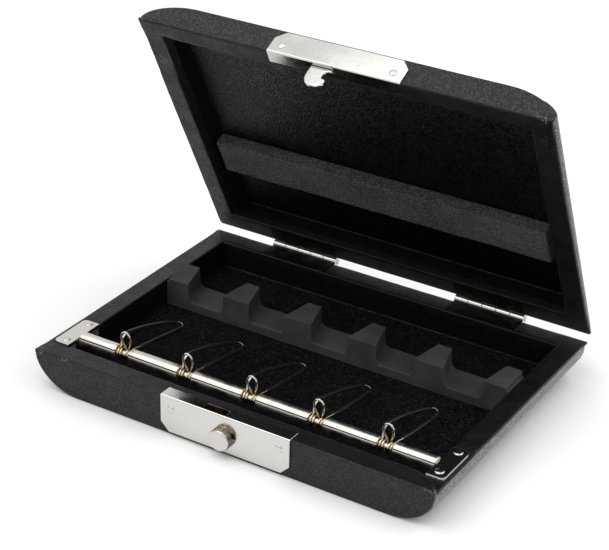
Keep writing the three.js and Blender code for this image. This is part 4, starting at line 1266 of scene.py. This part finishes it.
def knob():
    lo, hi = node_box("latch_knob")
    at = (PLATE_BASE[0].x + PLATE_BASE[1].x) / 2 - 0.30, 5.25       # x, z of the head
    stud = (lo.x + hi.x) / 2, (lo.z + hi.z) / 2     # on the slot's line, so it clears the plate
    stud_end = -42.55
    y0, y1 = lo.y + 0.60, PLATE_BASE[0].y - 0.03
    seg, rows, ridges, turns, knurl = 144, 22, 22, 2.6, 0.17
    verts, rings = [(at[0], y0 + 0.10, at[1])], [[0]]

    def add_ring(radii, y, centre=at):
        rings.append(list(range(len(verts), len(verts) + seg)))
        for k, r in enumerate(radii):
            a = 2 * pi * k / seg
            verts.append((centre[0] + r * cos(a), y, centre[1] + r * sin(a)))

    for r, dy in KNOB_FACE:
        add_ring([r * KNOB_GROW] * seg, y0 + dy)
    # diamond knurling round the edge
    first = len(rings)
    k0, k1 = y0 + 0.42, y1 - 0.12
    for j in range(rows + 1):
        y = k0 + (k1 - k0) * j / rows
        fade = min(1.0, min(j, rows - j) / 2.0)
        phase = (y - k0) / (k1 - k0) * 2 * pi * turns
        radii = []
        for k in range(seg):
            a = ridges * (2 * pi * k / seg)
            height = 0.5 * (max(cos(a + phase), 0) ** 0.8 + max(cos(a - phase), 0) ** 0.8)
            radii.append(KNOB_RADIUS - knurl + fade * knurl * min(1.0, height * 1.1))
        add_ring(radii, y)
    for r, dy in KNOB_BACK:
        add_ring([r * KNOB_GROW] * seg, y1 + dy)
    for r, y in ((0.70, y1), (0.68, y1 + 0.05), (0.68, stud_end - 0.05), (0.6, stud_end)):
        add_ring([r] * seg, y, stud)
    rings.append([len(verts)])
    verts.append((stud[0], stud_end, stud[1]))
    ob = make("knob", verts, skin(rings))
    finish(ob, "nickel_small", "latch", "nickel", "latch_knob", angle=60, weighted=False)
    repaint(ob, "knurled_nickel", lambda face: first <= face.index // seg <= first + rows)


def latch_works():
    """The plate behind the slider and the spring that pushes it."""
    ob = block(-8.9, 13.3, -39.62, -39.34, 3.2, 10.7, "latch_works_plate")
    bevel(ob, 0.08, 2, 40)
    finish(ob, "brass_works", "base", "nickel")
    turns, x0, x1, y, z, steps = 4.5, 7.95, 13.0, -41.05, 6.4, 108
    pts = []
    for i in range(steps + 1):
        a = i / steps * turns * 2 * pi
        pts.append((x0 + (x1 - x0) * i / steps, y + cos(a), z + sin(a)))
    ob = sweep("slider_spring", pts, 0.17, 8)
    finish(ob, "spring_wire", "base", "spring_wire", "latch_spring", angle=80, weighted=False)
    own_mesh(ob)


# ------------------------------------------------------------------- hinges
LEAF_THICK = 0.45
KNUCKLES, KNUCKLE_GAP, KNUCKLE_R, KNUCKLE_ROUND = 5, 0.12, 1.35, 0.14
LEAF_X, NAIL_X, NAIL_Y = 30.2, 6.6, 40.2     # leaf centre; nails either side of it
# radius, height above the leaf
NAIL = [(0, -4.2), (0.38, -3.6), (0.38, -0.34), (0.88, -0.12), (0.9, -0.05), (0.7, -0.01),
        (0.4, 0.025), (0, 0.04)]


def hinge_leaf(s, tag, body):
    """A flat leaf with its share of the knuckles, and its two countersunk nails."""
    x0, x1 = LEAF[tag][0].x, LEAF[tag][1].x
    z0 = LID_RIM if body == "lid" else RIM - LEAF_THICK
    z1 = z0 + LEAF_THICK
    up, face = (-1, z0) if body == "lid" else (1, z1)      # the side the nail heads are on
    at_hinge = (0, HINGE.y, HINGE.z)
    width = (x1 - x0 - KNUCKLE_GAP * (KNUCKLES - 1)) / KNUCKLES
    ob = block(x0, x1, 37.6, 42.85, z0, z1, f"leaf_{body}_{tag}")
    adds = []
    r, e = KNUCKLE_R - KNUCKLE_ROUND, KNUCKLE_ROUND
    for k in range(1 if body == "lid" else 0, KNUCKLES, 2):
        a = x0 + k * (width + KNUCKLE_GAP)
        adds.append(block(a, a + width, 42.7, 43.75, z0, z1))     # the leaf runs into the curl
        profile = [(0, a), (r, a)] + rise(r, a + e, e, (0.5, 1.0, 1.5708))
        profile += arc(r, a + width - e, e, (0.0, 0.5, 1.0)) + [(r, a + width), (0, a + width)]
        adds.append(lathe("cutter", profile, "x", at_hinge, 40))
    boolean(ob, adds, "UNION")
    cuts = [pin_hole(0.68, x0, x1, at_hinge, 28)]
    nails = [(i, (s * LEAF_X + offset, NAIL_Y, 0)) for i, offset in ((1, -NAIL_X), (2, NAIL_X))]
    sink = [(0, 1), (0.98, 1), (0.98, -0.2), (0.5, -0.45), (0.5, -1), (0, -1)]
    for _, at in nails:
        cuts.append(lathe("cutter", [(q, face + up * h) for q, h in sink], "z", at, 24))
    boolean(ob, cuts)
    bevel(ob, 0.05, 2, 45)
    finish(ob, "nickel_small", body, "nickel", f"hinge_leaf_{body}_{tag}")
    repaint(ob, "dark_bronze", lambda f: f.center.y / MM < 43.1)
    for i, at in nails:
        ob = lathe(f"nail_{body}_{tag}_{i}", [(q, face + up * h) for q, h in NAIL], "z", at, 24)
        finish(ob, "dark_bronze", body, "nickel", f"hinge_nail_{body}_{tag}_{i}", angle=50,
               weighted=False)


def hinge_pin(tag):
    lo, hi = node_box(f"hinge_pin_{tag}")
    end, r = 0.15, 0.6
    profile = [(0, lo.x), (0.45, lo.x + 0.02)]
    profile += [(r, lo.x + end + (hi.x - lo.x - 2 * end) * k / 6) for k in range(7)]
    profile += [(0.45, hi.x - 0.02), (0, hi.x)]
    ob = lathe(f"pin_{tag}", profile, "x", (0, HINGE.y, HINGE.z), 28)
    finish(ob, "nickel_small", "base", "nickel", f"hinge_pin_{tag}", angle=50, weighted=False)


base_shell()
lid_shell()
base_edging()
lid_edging()
wall_linings()
floor_flock()
ceiling_panel()
foam_strip()
rack()
rod()
clips()
latch_plates()
rivets()
hook()
slider()
knob()
latch_works()
for s, tag in SIDES:
    hinge_leaf(s, tag, "base")
    hinge_leaf(s, tag, "lid")
    hinge_pin(tag)


# -------------------------------------------------------------------- studio
def studio_floor():
    """Places here and below are in metres."""
    bm = bmesh.new()
    bmesh.ops.create_grid(bm, x_segments=24, y_segments=24, size=2.2)
    mesh = bpy.data.meshes.new("studio_floor")
    bm.to_mesh(mesh)
    bm.free()
    floor = link("studio_floor", mesh)
    floor.location = (0, 0, -0.00005)
    floor.data.materials.append(MATERIALS["studio_floor"])


def room_light():
    """White all round but dim low down to the front, which the rod's tubes reflect."""
    world = bpy.data.worlds.new("studio")
    bpy.context.scene.world = world
    world.use_nodes = True
    background = world.node_tree.nodes["Background"]
    strength = 0.90
    background.inputs[1].default_value = strength
    sky = Nodes(world.node_tree)
    direction = sky.split(sky.node("ShaderNodeTexCoord").outputs["Generated"])
    dim = sky.mul(sky.ramp(direction["Z"], span=(0.09, 0.13), to=(1, 0)),
                  sky.ramp(direction["Y"], span=(-0.5, -0.2), to=(1, 0)))
    colour = sky.mix(dim, base=(1.0, 1.0, 1.0), over=(0.10, 0.095, 0.09))
    sky.put(background.inputs[0], colour)


def area_light(name, place, target, size, power):
    data = bpy.data.lights.new(name, "AREA")
    data.shape, data.size, data.size_y, data.energy = "RECTANGLE", size, size, power
    ob = link(name, data)
    ob.location = place
    ob.rotation_euler = (Vector(target) - Vector(place)).to_track_quat("-Z", "Y").to_euler()


def camera():
    data = bpy.data.cameras.new("camera")
    ob = link("camera", data)
    right = Vector((0.8494407, 0.52720032, 0.02259024))
    up = Vector((-0.26215124, 0.38445815, 0.88513765))
    back = Vector((0.45795985, -0.75779401, 0.46478061))
    place = Vector((218.9205, -367.25926, 259.9022)) * MM
    ob.matrix_world = Matrix.Translation(place) @ Matrix((right, up, back)).transposed().to_4x4()
    data.sensor_fit, data.sensor_width = "AUTO", 36.0
    data.lens = 109.0309886
    data.shift_x, data.shift_y = -0.0033777011, -0.016137291
    data.clip_start, data.clip_end = 0.01, 20.0
    bpy.context.scene.camera = ob


studio_floor()
room_light()
area_light("key", place=(-0.25, -0.30, 0.95), target=(0, 0, 0), size=1.0, power=4.2)
area_light("sweep", place=(0.30, 0.18, 0.36), target=(0.24, 0.15, 0), size=0.34, power=0.55)
camera()
bpy.context.scene.view_settings.view_transform = "Standard"
